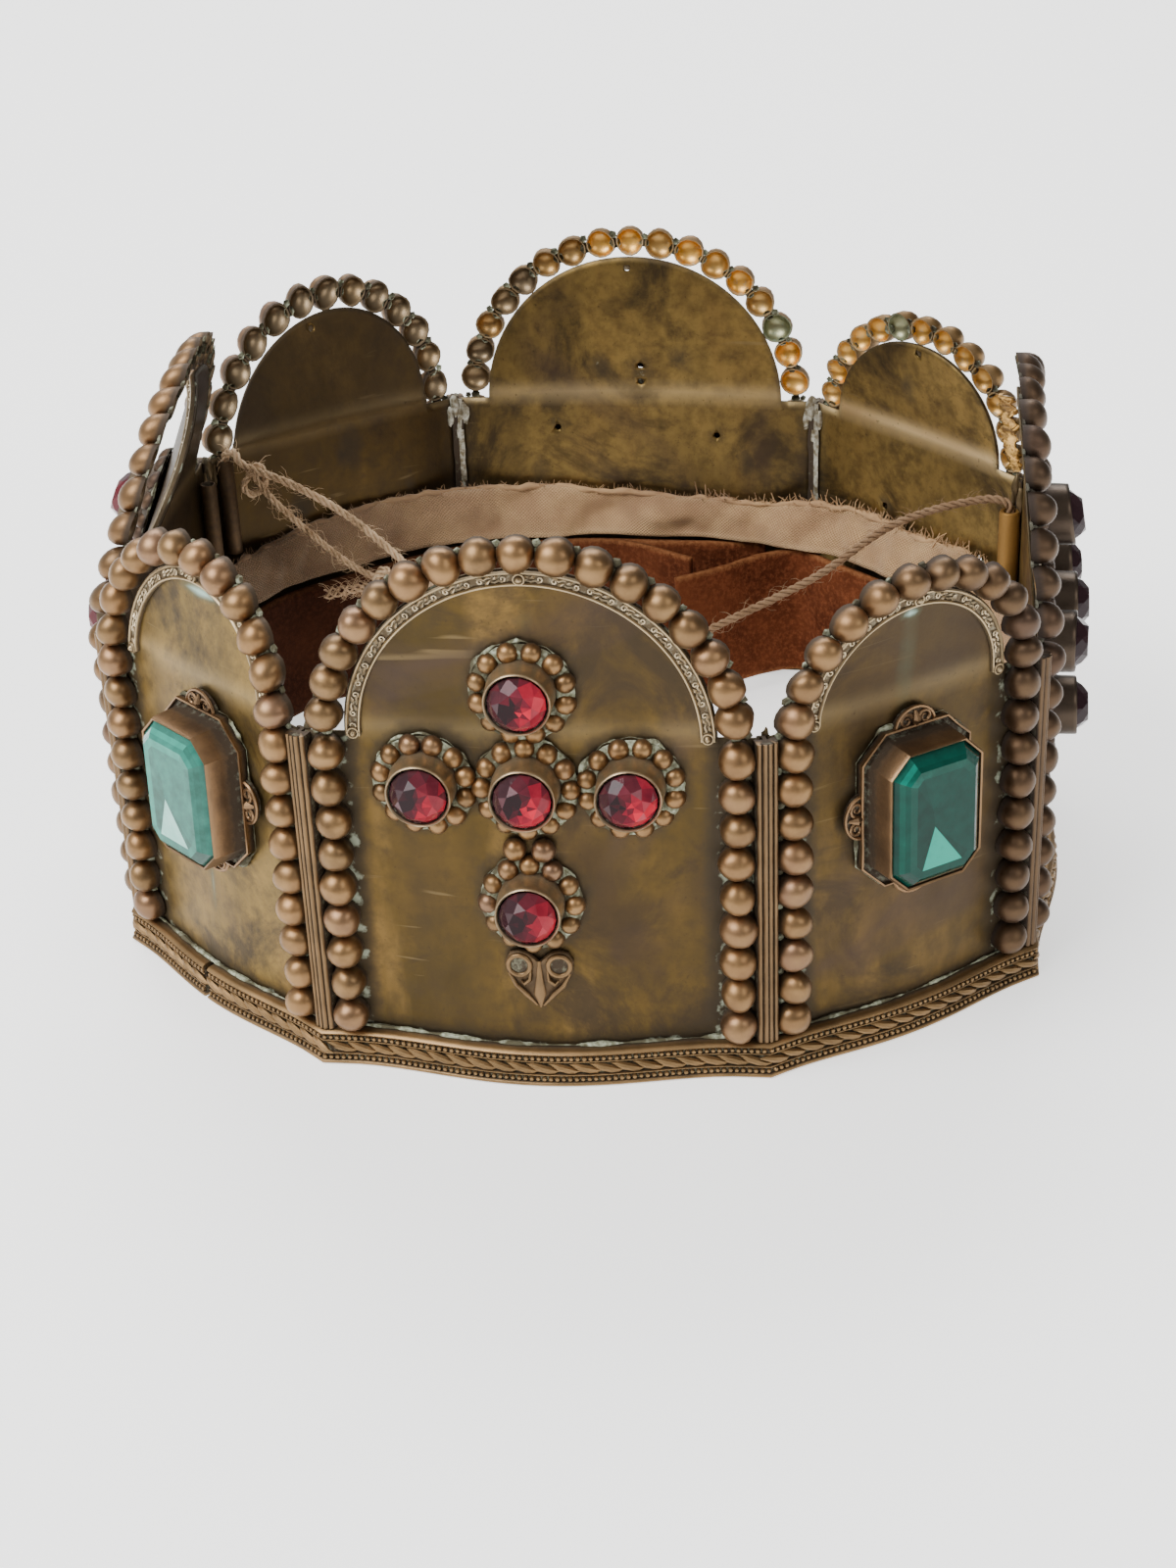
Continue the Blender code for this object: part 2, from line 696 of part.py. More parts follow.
def make_green_setting(panel, parts, cutters, parent, metal, glass):
    """A box collet in a tray with four scrolled lobes, and the long cut stone in it."""
    side_share, up_share = GREEN_SHIFTS[panel.name]
    across = side_share * GREEN_HALF_WIDTH
    height = GREEN_CENTRE_HEIGHT + up_share * GREEN_HALF_HEIGHT
    wall_in = CLEARANCE
    wall_out = CLEARANCE + BOX_WALL
    tray = wall_out + TRAY_MARGIN
    bm = bmesh.new()
    cut_corner_solid(bm, (
        (tray, CLEARANCE), (tray, TRAY_DEPTH), (wall_out, TRAY_DEPTH), (wall_out, BOX_HEIGHT),
        (wall_in, BOX_HEIGHT), (wall_in, BOX_HEIGHT - SEAT_DEPTH),
    ), across, height)
    stood_on_crest(bm, panel)
    setting = add_object(f"green_setting_{panel.name}", finish_mesh("setting", bm), parts, parent, metal)

    reach_x = GREEN_HALF_WIDTH + tray
    reach_z = GREEN_HALF_HEIGHT + tray
    lobe = [direction(math.pi * step / LOBE_STEPS) for step in range(LOBE_STEPS + 1)]
    for number, (way_x, way_z) in enumerate(((1, 0), (0, 1), (-1, 0), (0, -1)), 1):
        outline = []
        for along, out in lobe:
            out_length = (out - LOBE_LAP_SHARE) * LOBE_REACH
            side = way_x * (reach_x + out_length) - way_z * along * LOBE_HALF_LENGTH
            level = way_z * (reach_z + out_length) + way_x * along * LOBE_HALF_LENGTH
            outline.append((side, level))
        bm = bmesh.new()
        rises = (MOUNT_CLEARANCE, LOBE_DEPTH)
        loft(bm, [[(across + side, -rise, height + level) for side, level in outline] for rise in rises])
        stood_on_crest(bm, panel)
        other = add_object(f"lobe_{panel.name}_{number}", finish_mesh("lobe", bm), cutters, parent)
        join_solid(setting, other, "UNION")

    base = BOX_HEIGHT - SEAT_DEPTH + CLEARANCE
    bm = bmesh.new()
    girdle = base + GREEN_GIRDLE_RISE
    cut_corner_solid(bm, (
        (-GREEN_BASE_SHARE * GREEN_TABLE_STEP, base), (0.0, girdle),
        (-GREEN_TABLE_STEP, girdle + GREEN_CROWN_RISE),
    ), across, height)
    stood_on_crest(bm, panel)
    add_object(f"green_stone_{panel.name}", finish_mesh("green_stone", bm), parts, parent, glass)


def smooth_points(places, count, closed=False):
    """Even steps along a smooth curve through hand-chosen places."""
    total = len(places)
    spans = total if closed else total - 1
    points = []
    for step in range(count):
        position = spans * step / (count if closed else count - 1)
        span = min(int(position), spans - 1)
        share = position - span
        near = range(span - 1, span + 3)
        if closed:
            before, here, there, beyond = (places[index % total] for index in near)
        else:
            before, here, there, beyond = (places[min(max(index, 0), total - 1)] for index in near)
        points.append(0.5 * (
            2 * here + (there - before) * share
            + (2 * before - 5 * here + 4 * there - beyond) * share ** 2
            + (3 * here - before - 3 * there + beyond) * share ** 3
        ))
    return points


def wall_places(panel, inset, height):
    """Places along the inside of a panel at one height, from its left to its right."""
    return [panel.world(share * panel.width, height, -inset) for share in WALL_SHARES]


def make_band(name, rows, closed, thickness, parts, parent, material):
    """A cloth wall skinned between rows of points and thickened."""
    bm = bmesh.new()
    made = [[bm.verts.new(place) for place in row] for row in rows]
    count = len(made[0])
    for lower, upper in zip(made, made[1:]):
        for index in range(count if closed else count - 1):
            after = (index + 1) % count
            bm.faces.new((lower[index], lower[after], upper[after], upper[index]))
    band = add_object(name, finish_mesh(name, bm, closed=False), parts, parent, material)
    thicken(band, thickness, 0.0)


def make_cotton_band(panels, parts, parent, material):
    """The cotton funnel from the walls to the top of the felt."""
    upper, lower = [], []
    for panel, heights in zip(panels, COTTON_HEIGHTS):
        for place, share in zip(wall_places(panel, COTTON_TOP_INSET, COTTON_TOP), heights):
            upper.append(Vector((place.x, place.y, COTTON_TOP * share)))
        lower += wall_places(panel, COTTON_FOOT_INSET, COTTON_FOOT)
    rows = [smooth_points(line, COTTON_STATIONS, closed=True) for line in (lower, upper)]
    make_band("cotton_band", rows, True, COTTON_THICKNESS, parts, parent, material)


def make_felt_band(panels, parts, parent, material):
    """The felt strip, standing inside the walls, its two ends apart at the back."""
    places = [Vector((across * HALF_WIDTH, depth * HALF_DEPTH, 0)) for across, depth in FELT_INNER_END]
    by_name = {panel.name: panel for panel in panels}
    for name in ("back_right", "right", "front_right", "front", "front_left", "left", "back_left"):
        places += reversed(wall_places(by_name[name], FELT_INSET, FELT_TOP))
    places += [Vector((across * HALF_WIDTH, depth * HALF_DEPTH, 0)) for across, depth in FELT_BACK_END]
    line = smooth_points(places, FELT_STATIONS)
    rows = [[Vector((place.x, place.y, level)) for place in line] for level in (FELT_FOOT, FELT_TOP)]
    make_band("felt_band", rows, False, FELT_THICKNESS, parts, parent, material)


def make_twine(parts, parent, material):
    """The twine that hangs from one back corner tube to the other."""
    curve = bpy.data.curves.new("twine", "CURVE")
    curve.dimensions = "3D"
    curve.bevel_depth = TWINE_RADIUS
    curve.bevel_resolution = 2
    curve.use_fill_caps = True
    points = smooth_points([Vector(place) for place in TWINE_ROUTE], TWINE_POINTS)
    spline = curve.splines.new("POLY")
    spline.points.add(len(points) - 1)
    for target, place in zip(spline.points, points):
        target.co = (*place, 1.0)
    twine = bpy.data.objects.new("twine", curve)
    parts.objects.link(twine)
    twine.parent = parent
    curve.materials.append(material)


def centre_on_origin(parts, root):
    """Move the whole crown so that the middle of its foot lies over the origin."""
    bpy.context.view_layer.update()
    graph = bpy.context.evaluated_depsgraph_get()
    places = []
    for thing in parts.objects:
        if thing.type in {"MESH", "CURVE"} and thing.name != "twine":
            evaluated = thing.evaluated_get(graph)
            places += [evaluated.matrix_world @ Vector(corner) for corner in evaluated.bound_box]
    low = [min(place[axis] for place in places) for axis in range(2)]
    high = [max(place[axis] for place in places) for axis in range(2)]
    root.location = (-(low[0] + high[0]) / 2, -(low[1] + high[1]) / 2, 0)
    bpy.context.view_layer.update()


def main():
    clear_scene()
    parts = make_collection("costume_crown")
    cutters = make_collection("cutters")
    brass = make_material("tarnished_brass", (0.16, 0.11, 0.05), 0.42, 0.9)
    bead_brass = make_material("bead_brass", (0.24, 0.14, 0.07), 0.38, 0.9)
    strip_brass = make_material("strip_brass", (0.22, 0.13, 0.07), 0.45, 0.9)
    red_glass = make_material("red_glass", (0.35, 0.01, 0.03), 0.08, 0.0)
    green_glass = make_material("green_glass", (0.01, 0.22, 0.15), 0.08, 0.0)
    cotton = make_material("cotton", (0.52, 0.36, 0.24), 0.95, 0.0)
    felt = make_material("felt", (0.17, 0.04, 0.02), 0.95, 0.0)
    jute = make_material("jute", (0.48, 0.29, 0.16), 0.9, 0.0)

    root = bpy.data.objects.new("crown_origin", None)
    parts.objects.link(root)
    panels = [Panel(row) for row in PANEL_ROWS]
    by_right = {panel.row.right: panel for panel in panels}
    corners = {panel.row.left: Corner(panel.row.left, by_right[panel.row.left], panel) for panel in panels}

    for panel in panels:
        frame = bpy.data.objects.new(f"frame_{panel.name}", None)
        parts.objects.link(frame)
        frame.parent = root
        frame.location = (panel.middle.x, panel.middle.y, 0)
        frame.rotation_euler.z = math.atan2(panel.along.y, panel.along.x)
        left_end = corners[panel.row.left].sheet_end()
        right_end = corners[panel.row.right].sheet_end()
        make_sheet(panel, left_end, right_end, parts, cutters, frame, brass)
        make_bead_border(panel, parts, frame, bead_brass)
        if panel.row.wide:
            make_cross(panel, parts, cutters, frame, bead_brass, red_glass)
        else:
            make_green_setting(panel, parts, cutters, frame, bead_brass, green_glass)
    for corner in corners.values():
        make_post(corner, parts, cutters, root, strip_brass)
    make_rim(panels, corners, parts, root, strip_brass)
    make_cotton_band(panels, parts, root, cotton)
    make_felt_band(panels, parts, root, felt)
    make_twine(parts, root, jute)
    centre_on_origin(parts, root)


main()
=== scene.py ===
# %% [markdown]
# A costume crown of thin brass sheet, soldered together from eight arched panels.
# This lesson dresses the plain solids of the crown with the finish and the fine parts of the
# real one: stamped mouldings, hollow beads, cut stones in their cups, cloth, felt and twine.
# The packed model is loaded first and stays as it is. Every new piece is placed by it.

# %% Load the packed crown
import math
import random

import bmesh
import bpy
from mathutils import Matrix, Vector, noise


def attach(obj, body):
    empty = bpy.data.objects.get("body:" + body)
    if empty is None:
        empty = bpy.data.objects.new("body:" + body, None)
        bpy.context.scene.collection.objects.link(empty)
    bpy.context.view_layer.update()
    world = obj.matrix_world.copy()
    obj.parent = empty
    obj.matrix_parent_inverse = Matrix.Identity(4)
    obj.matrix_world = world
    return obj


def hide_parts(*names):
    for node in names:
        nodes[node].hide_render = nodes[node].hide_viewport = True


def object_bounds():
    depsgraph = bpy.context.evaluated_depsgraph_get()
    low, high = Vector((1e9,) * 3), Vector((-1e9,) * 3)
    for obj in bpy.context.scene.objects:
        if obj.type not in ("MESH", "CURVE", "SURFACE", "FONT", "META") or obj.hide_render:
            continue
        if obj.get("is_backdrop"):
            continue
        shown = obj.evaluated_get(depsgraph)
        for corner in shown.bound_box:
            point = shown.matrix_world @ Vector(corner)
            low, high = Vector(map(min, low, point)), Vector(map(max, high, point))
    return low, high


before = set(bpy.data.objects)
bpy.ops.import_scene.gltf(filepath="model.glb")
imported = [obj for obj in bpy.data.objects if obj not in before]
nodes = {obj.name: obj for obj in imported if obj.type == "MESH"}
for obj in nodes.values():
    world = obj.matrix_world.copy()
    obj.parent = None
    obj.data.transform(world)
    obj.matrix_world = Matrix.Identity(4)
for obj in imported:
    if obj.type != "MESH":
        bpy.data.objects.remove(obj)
cad_low, cad_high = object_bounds()
print("nodes:", len(nodes), "box in mm:", [round(1000 * side, 1) for side in cad_high - cad_low])

# %% [markdown]
# The camera stands where the photographer stood: in front, a little to the right, looking
# down into the crown. Its place was found by fitting the crown's corners to the picture. The
# lens is given over the picture's height, so that it holds in any frame of these proportions.

# %% Camera
CAMERA_PLACE = Vector((0.0781, -0.6013, 0.3480))
CAMERA_YAW = math.radians(7.586)
CAMERA_PITCH = math.radians(28.65)
CAMERA_ROLL = math.radians(2.465)
FOCAL_SHARE = 2568.2 / 1600
SENSOR_HEIGHT = 36.0


def camera_matrix():
    """The camera's turn and place, from its yaw, its pitch downward and its roll."""
    across = Vector((math.cos(CAMERA_YAW), math.sin(CAMERA_YAW), 0))
    ahead = Vector((-math.sin(CAMERA_YAW), math.cos(CAMERA_YAW), 0))
    up = Vector((0, 0, 1))
    forward = ahead * math.cos(CAMERA_PITCH) - up * math.sin(CAMERA_PITCH)
    upward = ahead * math.sin(CAMERA_PITCH) + up * math.cos(CAMERA_PITCH)
    right = across * math.cos(CAMERA_ROLL) - upward * math.sin(CAMERA_ROLL)
    top = across * math.sin(CAMERA_ROLL) + upward * math.cos(CAMERA_ROLL)
    turn = Matrix((right, top, -forward)).transposed()
    return Matrix.Translation(CAMERA_PLACE) @ turn.to_4x4()


lens = bpy.data.cameras.new("camera")
lens.sensor_fit = "VERTICAL"
lens.sensor_height = SENSOR_HEIGHT
lens.lens = FOCAL_SHARE * SENSOR_HEIGHT
camera = bpy.data.objects.new("camera", lens)
camera.matrix_world = camera_matrix()
bpy.context.scene.collection.objects.link(camera)
bpy.context.scene.camera = camera
print("lens in mm:", round(lens.lens, 2))

# %% [markdown]
# The studio is a pale floor, a bright wide lamp above and in front, and a softer one on each
# side. Polished balls show their lamps, so the lamps are large: a small one would make a hard
# white dot where the real beads have a broad glow.

# %% Floor and lamps
FLOOR_HALF = 4.0
CROWN_MIDDLE = Vector((0, 0, 0.06))


def add_lamp(name, place, width, depth, power, colour=(1, 1, 1)):
    """A rectangular soft lamp that faces the crown."""
    light = bpy.data.lights.new(name, "AREA")
    light.shape = "RECTANGLE"
    light.size = width
    light.size_y = depth
    light.energy = power
    light.color = colour
    lamp = bpy.data.objects.new(name, light)
    lamp.location = place
    lamp.rotation_euler = (CROWN_MIDDLE - Vector(place)).to_track_quat("-Z", "Y").to_euler()
    bpy.context.scene.collection.objects.link(lamp)


add_lamp("key_lamp", (-1.30, -1.10, 2.10), 1.7, 1.4, 88.0)
add_lamp("fill_lamp", (1.60, -1.20, 1.50), 1.0, 1.0, 14.0, (1.0, 0.98, 0.95))
add_lamp("back_lamp", (-0.40, 1.90, 2.10), 2.4, 1.4, 80.0)

world = bpy.data.worlds.new("studio")
bpy.context.scene.world = world
world.use_nodes = True
# The room is darker on the right, where no window was
room = world.node_tree
split = room.nodes.new("ShaderNodeSeparateXYZ")
fade = room.nodes.new("ShaderNodeMapRange")
for label, value in (("From Min", -0.7), ("From Max", 0.8), ("To Min", 0.95), ("To Max", 0.16)):
    fade.inputs[label].default_value = value
room.links.new(room.nodes.new("ShaderNodeTexCoord").outputs["Generated"], split.inputs[0])
room.links.new(split.outputs["X"], fade.inputs["Value"])
room.links.new(fade.outputs[0], room.nodes["Background"].inputs["Strength"])
room.nodes["Background"].inputs["Color"].default_value = (0.93, 0.94, 0.95, 1)

mesh = bpy.data.meshes.new("floor")
bm = bmesh.new()
bmesh.ops.create_grid(bm, x_segments=1, y_segments=1, size=FLOOR_HALF)
bm.to_mesh(mesh)
bm.free()
floor = bpy.data.objects.new("floor", mesh)
bpy.context.scene.collection.objects.link(floor)
paint = bpy.data.materials.new("floor_paint")
paint.use_nodes = True
# The backdrop of the photo is nearly white, so the floor glows a little
for label, value in (("Base Color", (0.86, 0.86, 0.855, 1)), ("Roughness", 0.6),
                     ("Emission Color", (1.0, 0.995, 0.98, 1)), ("Emission Strength", 1.02)):
    paint.node_tree.nodes["Principled BSDF"].inputs[label].default_value = value
mesh.materials.append(paint)
floor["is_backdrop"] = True

# %% [markdown]
# A finish on old metal is many small effects laid over each other: clouds of tarnish, rubbed
# high places, pale bloom near solder. Each effect is a number that varies over the surface.
# Writing them as Python sums is easier to read than wiring nodes by hand, so a small class
# wraps a socket and lets +, - and * add the Math nodes.

# %% Shader sums
class Field:
    """A number that varies over a surface, on which Python's signs work."""

    def __init__(self, finish, socket):
        self.finish = finish
        self.socket = socket

    def maths(self, operation, *values, clamp=False):
        node = self.finish.tree.nodes.new("ShaderNodeMath")
        node.operation = operation
        node.use_clamp = clamp
        for entry, value in zip(node.inputs, values):
            self.finish.feed(entry, value)
        return Field(self.finish, node.outputs[0])

    def __add__(self, other):
        return self.maths("ADD", self, other)

    __radd__ = __add__

    def __sub__(self, other):
        return self.maths("SUBTRACT", self, other)

    def __rsub__(self, other):
        return self.maths("SUBTRACT", other, self)

    def __mul__(self, other):
        return self.maths("MULTIPLY", self, other)

    def ramp(self, low, high):
        """0 below low, 1 above high, and even between them."""
        return self.maths("MULTIPLY_ADD", self, 1 / (high - low), -low / (high - low), clamp=True)


class Finish:
    """A material that is built up from fields."""

    def __init__(self, name, metallic=0.0, roughness=0.5, **constants):
        self.material = bpy.data.materials.new(name)
        self.material.use_nodes = True
        self.tree = self.material.node_tree
        self.shader = self.tree.nodes["Principled BSDF"]
        self.shader.inputs["Metallic"].default_value = metallic
        self.shader.inputs["Roughness"].default_value = roughness
        for label, value in constants.items():
            self.shader.inputs[label.replace("_", " ")].default_value = value
        self.place = self.add("ShaderNodeTexCoord").outputs["Object"]

    def add(self, kind, settings=None, **values):
        """Any other node: its kind, its settings, and the values or links of its sockets."""
        node = self.tree.nodes.new(kind)
        for label, value in (settings or {}).items():
            setattr(node, label, value)
        for label, value in values.items():
            self.feed(node.inputs[label.replace("_", " ")], value)
        return node

    def feed(self, entry, value):
        if isinstance(value, Field):
            value = value.socket
        if isinstance(value, bpy.types.NodeSocket):
            self.tree.links.new(value, entry)
        elif isinstance(value, (tuple, list)) and entry.type == "RGBA":
            entry.default_value = (*value, 1)[:4]
        else:
            entry.default_value = value

    def stretched(self, scale):
        """The object's place, stretched along its axes."""
        return self.add("ShaderNodeMapping", Vector=self.place, Scale=scale).outputs[0]

    def noise(self, scale, detail=3.0, roughness=0.55, place=None, distortion=0.0):
        node = self.add("ShaderNodeTexNoise", Vector=place or self.place, Scale=scale, Detail=detail,
                        Roughness=roughness, Distortion=distortion)
        return Field(self, node.outputs["Fac"])

    def axis(self, label):
        """The place in the crown along one axis, in metres."""
        return Field(self, self.add("ShaderNodeSeparateXYZ", Vector=self.place).outputs[label])

    def attribute(self, name):
        node = self.add("ShaderNodeAttribute", {"attribute_name": name})
        return Field(self, node.outputs["Fac"])

    def blend(self, share, first, second):
        """One colour turning into another where the share grows from 0 to 1."""
        node = self.add("ShaderNodeMix", {"data_type": "RGBA"})
        colours = [entry for entry in node.inputs if entry.type == "RGBA"]
        self.feed(node.inputs[0], share)
        self.feed(colours[0], first)
        self.feed(colours[1], second)
        return next(exit for exit in node.outputs if exit.type == "RGBA")

    def paint(self, colour=None, roughness=None, metallic=None):
        for label, value in (("Base Color", colour), ("Roughness", roughness), ("Metallic", metallic)):
            if value is not None:
                self.feed(self.shader.inputs[label], value)

    def bump(self, height, depth, strength=1.0):
        """Fine relief of the given depth in metres."""
        node = self.add("ShaderNodeBump", Strength=strength, Distance=depth, Height=height)
        self.tree.links.new(node.outputs[0], self.shader.inputs["Normal"])


print("sums ready:", [name for name in vars(Field) if name.startswith("__r")])

# %% [markdown]
# Sheet brass that has tarnished for decades is olive and golden brown, never one colour. Wide
# clouds run from gold to dark brown, purple-brown stains lie in places, and solder has drawn
# out a pale green bloom. The mesh carries painted numbers that say where: dirt beside the beads
# and mounts, a painted highlight along the bend line of each arch, darkening that is partly age
# and partly painted shade, gilt that is left, which on the insides is partly painted light, and
# verdigris.

# %% Sheet finish
GOLD = (0.142, 0.086, 0.022)
OLIVE = (0.058, 0.038, 0.011)
UMBER = (0.043, 0.030, 0.016)
PURPLE = (0.066, 0.043, 0.033)
BLOOM = (0.360, 0.400, 0.290)


def sheet_finish(name, light, middle, dark):
    finish = Finish(name, metallic=0.85, roughness=0.45)
    clouds = finish.noise(22, detail=6, roughness=0.6, distortion=0.4)
    drift = finish.noise(48, detail=5, place=finish.stretched((1, 1, 0.28)))
    specks = finish.noise(900, detail=2)
    stains = finish.noise(14, detail=3, distortion=1.2).ramp(0.56, 0.70)
    mottle = finish.noise(230, detail=5, roughness=0.65)
    spots = finish.noise(30, detail=7, roughness=0.66, distortion=0.6)
    kinds = ("dirt", "rub", "age", "gilt", "verdigris")
    dirt, rub, age, gilt, verdigris = (finish.attribute(kind) for kind in kinds)
    colour = finish.blend(clouds.ramp(0.32, 0.68), middle, light)
    # Kept gilding, which on the insides is also painted light
    colour = finish.blend(gilt * (clouds.ramp(0.2, 0.8) * 0.3 + 0.7), colour, (0.520, 0.345, 0.105))
    colour = finish.blend(drift.ramp(0.46, 0.70) * 0.60, colour, dark)
    colour = finish.blend(drift.ramp(0.46, 0.32) * 0.60, colour, (0.235, 0.142, 0.045))
    colour = finish.blend(mottle.ramp(0.42, 0.66) * 0.52, colour, (0.052, 0.036, 0.017))
    colour = finish.blend(spots.ramp(0.51, 0.62) * 0.78, colour, (0.036, 0.026, 0.017))
    scores = finish.noise(420, detail=2, place=finish.stretched((0.06, 0.06, 1)), distortion=0.8)
    colour = finish.blend(scores.ramp(0.68, 0.74) * 0.35, colour, (0.30, 0.215, 0.10))
    colour = finish.blend(stains * 0.65, colour, PURPLE)
    # Darkening that is partly age and partly painted shade
    colour = finish.blend(age * 0.80, colour, (0.044, 0.029, 0.017))
    # A painted highlight along the bend line of each arch
    colour = finish.blend(rub * 0.9, colour, (0.88, 0.66, 0.34))
    grime = (dirt * 0.95 + drift * 0.4 + mottle * 0.5 - 0.62).ramp(0.0, 0.75)
    colour = finish.blend(grime * 0.8, colour, UMBER)
    green = (dirt * (finish.noise(260, detail=5) * 1.9)).ramp(1.00, 1.22)
    colour = finish.blend(green * 0.75, colour, BLOOM)
    stain = (verdigris * (mottle + 0.55)).ramp(0.15, 0.90)
    bluish = finish.blend(verdigris.ramp(0.45, 0.85), (0.066, 0.082, 0.042), (0.330, 0.470, 0.400))
    colour = finish.blend(stain, colour, bluish)
    colour = finish.blend(specks.ramp(0.66, 0.76) * 0.5, colour, UMBER)
    finish.paint(colour=colour, roughness=0.38 + clouds * 0.16 + grime * 0.22 - rub * 0.08,
                 metallic=0.90 - green * 0.80 - grime * 0.30 - stain * 0.5)
    scratches = finish.noise(260, detail=4, place=finish.stretched((1, 1, 0.05)))
    finish.bump(clouds * 0.5 + scratches * 0.3 + mottle * 0.35 + specks * 0.15, 0.00028, 0.7)
    return finish.material


sheet_brass = sheet_finish("sheet_brass", GOLD, OLIVE, UMBER)
print("finish:", sheet_brass.name)

# %% [markdown]
# Beads, mouldings and the foot strip are stamped from a redder metal. Their high places are
# rubbed to copper and their hollows hold brown dirt and a pale crust. Painted numbers drive
# it: relief, which is 1 on the high places, dirt, gilt, grime together with painted shade, and
# tone, which differs from one bead to the next so that no two are quite the same colour.

# %% Stamped finish
COPPER = (0.275, 0.152, 0.066)
BRONZE = (0.158, 0.096, 0.046)
CHOCOLATE = (0.050, 0.036, 0.024)


def stamped_finish(name, high, middle, low, crust=0.6, rough=0.34, pale=BLOOM):
    finish = Finish(name, metallic=0.9, roughness=rough)
    clouds = finish.noise(130, detail=4)
    grains = finish.noise(1500, detail=2)
    crumbs = finish.noise(650, detail=4, roughness=0.7)
    tone, relief, dirt = (finish.attribute(kind) for kind in ("tone", "relief", "dirt"))
    colour = finish.blend(clouds.ramp(0.32, 0.68), middle, high)
    colour = finish.blend((tone * 0.7).ramp(0.0, 1.0), colour, middle)
    colour = finish.blend((relief * (clouds + 0.25)).ramp(0.25, 0.95) * 0.55, colour, high)
    soil = (dirt * 1.25 + crumbs * 0.5 - 0.55).ramp(0.0, 0.5)
    colour = finish.blend(soil * 0.9, colour, low)
    bloom = (dirt * (crumbs * 1.7)).ramp(0.78, 1.02) * crust
    colour = finish.blend(bloom, colour, pale)
    colour = finish.blend(finish.attribute("gilt"), colour, (0.62, 0.33, 0.07))
    # Grime together with painted shade on the darker sides of the crown
    colour = finish.blend(finish.attribute("grime"), colour, (0.040, 0.028, 0.023))
    finish.paint(colour=colour, roughness=rough + clouds * 0.10 + soil * 0.3 + tone * 0.05,
                 metallic=0.92 - bloom * 0.9 - soil * 0.25)
    finish.bump(clouds * 0.3 + grains * 0.2 + crumbs * dirt, 0.00018, 0.6)
    return finish.material


bead_brass = stamped_finish("bead_brass", COPPER, BRONZE, CHOCOLATE)
strip_brass = stamped_finish("strip_brass", (0.290, 0.178, 0.080), (0.160, 0.102, 0.048), CHOCOLATE,
                             crust=0.55, rough=0.38, pale=(0.26, 0.25, 0.15))
post_brass = stamped_finish("post_brass", (0.225, 0.138, 0.066), (0.118, 0.075, 0.038), CHOCOLATE,
                            crust=0.4, rough=0.38, pale=(0.30, 0.31, 0.20))
moulding_brass = stamped_finish("moulding_brass", (0.44, 0.34, 0.20), (0.27, 0.20, 0.115),
                                (0.115, 0.080, 0.045), pale=(0.40, 0.36, 0.25))
scroll_brass = stamped_finish("scroll_brass", (0.62, 0.51, 0.34), (0.44, 0.35, 0.22),
                              (0.20, 0.15, 0.09), crust=0.3)
print("finishes:", bead_brass.name, strip_brass.name, moulding_brass.name, scroll_brass.name)

# %% [markdown]
# Every panel is easiest to think of as flat: so far across, so high, and so far out from the
# sheet. The real panels swell a little, and their arches have been bent inward or outward over
# the years. So each piece is made flat first, and one small class bends it to its panel.

# %% The eight panels
SHIFT = Vector((-0.000244, 0.001264))
HALF_WIDTH = 0.1140
HALF_DEPTH = 0.1090
SHEET = 0.0007
CLEARANCE = 0.0003
BEAD_RADIUS = 0.00425
BEAD_INSET = 0.00615
ARCH_CENTRE = 0.0880
SHOULDER = 0.0885
LEAN_START = 0.0903
SWELL_TOP = 0.1350
SWELL_SHARE = 0.90
SWELLS = {"wide": 0.0065, "narrow": 0.0030}
CURL_DEPTH = 0.0140
CORNERS = {
    "front_left": (-0.4605, -1.0046), "front_right": (0.4605, -1.0046),
    "right_front": (1.0000, -0.5872), "right_back": (1.0132, 0.4083),
    "back_right": (0.5000, 0.9633), "back_left": (-0.4518, 0.9908),
    "left_back": (-1.0219, 0.5000), "left_front": (-0.9789, -0.5413),
}


def corner_point(name):
    across, depth = CORNERS[name]
    return Vector((across * HALF_WIDTH, depth * HALF_DEPTH)) + SHIFT


class Panel:
    """One side of the crown: across to the right seen from outside, and outward."""

    def __init__(self, name, left, right, form, lean, slide=0.0, curl=0.0):
        self.name, self.left, self.right, self.form = name, left, right, form
        self.lean, self.slide, self.curl = lean, slide, curl
        side = corner_point(right) - corner_point(left)
        self.width = side.length
        self.along = side.normalized()
        self.outward = Vector((self.along.y, -self.along.x))
        self.middle = (corner_point(left) + corner_point(right)) / 2
        self.bead_arch = self.width / 2 - BEAD_INSET
        self.sheet_arch = self.bead_arch - BEAD_RADIUS

    def curled(self, across, height):
        """How far the loose half of a sheet has come away inward from its beads."""
        side = min(1.0, max(0.0, across / self.sheet_arch))
        return self.curl * CURL_DEPTH * side * max(0.0, height - LEAN_START) / self.sheet_arch

    def place(self, across, height, out):
        """The place in the crown of a point on the flat panel."""
        share = 2 * across / (self.width * SWELL_SHARE)
        swell = SWELLS[self.form] * max(0.0, 1 - share * share) ** 2 * max(0.0, 1 - height / SWELL_TOP)
        rise = max(0.0, height - LEAN_START)
        plan = self.middle + self.along * (across + self.slide * rise)
        plan += self.outward * (swell - self.lean * rise + out)
        return Vector((plan.x, plan.y, height))

    def crest(self, height):
        """How far the middle of the sheet swells out at one height."""
        return (self.place(0, height, 0).xy - self.middle).dot(self.outward)

    def bend(self, thing):
        """Bend a piece that was modelled flat: X across, Z up and minus Y outward."""
        for vertex in thing.data.vertices:
            vertex.co = self.place(vertex.co.x, vertex.co.z, -vertex.co.y)


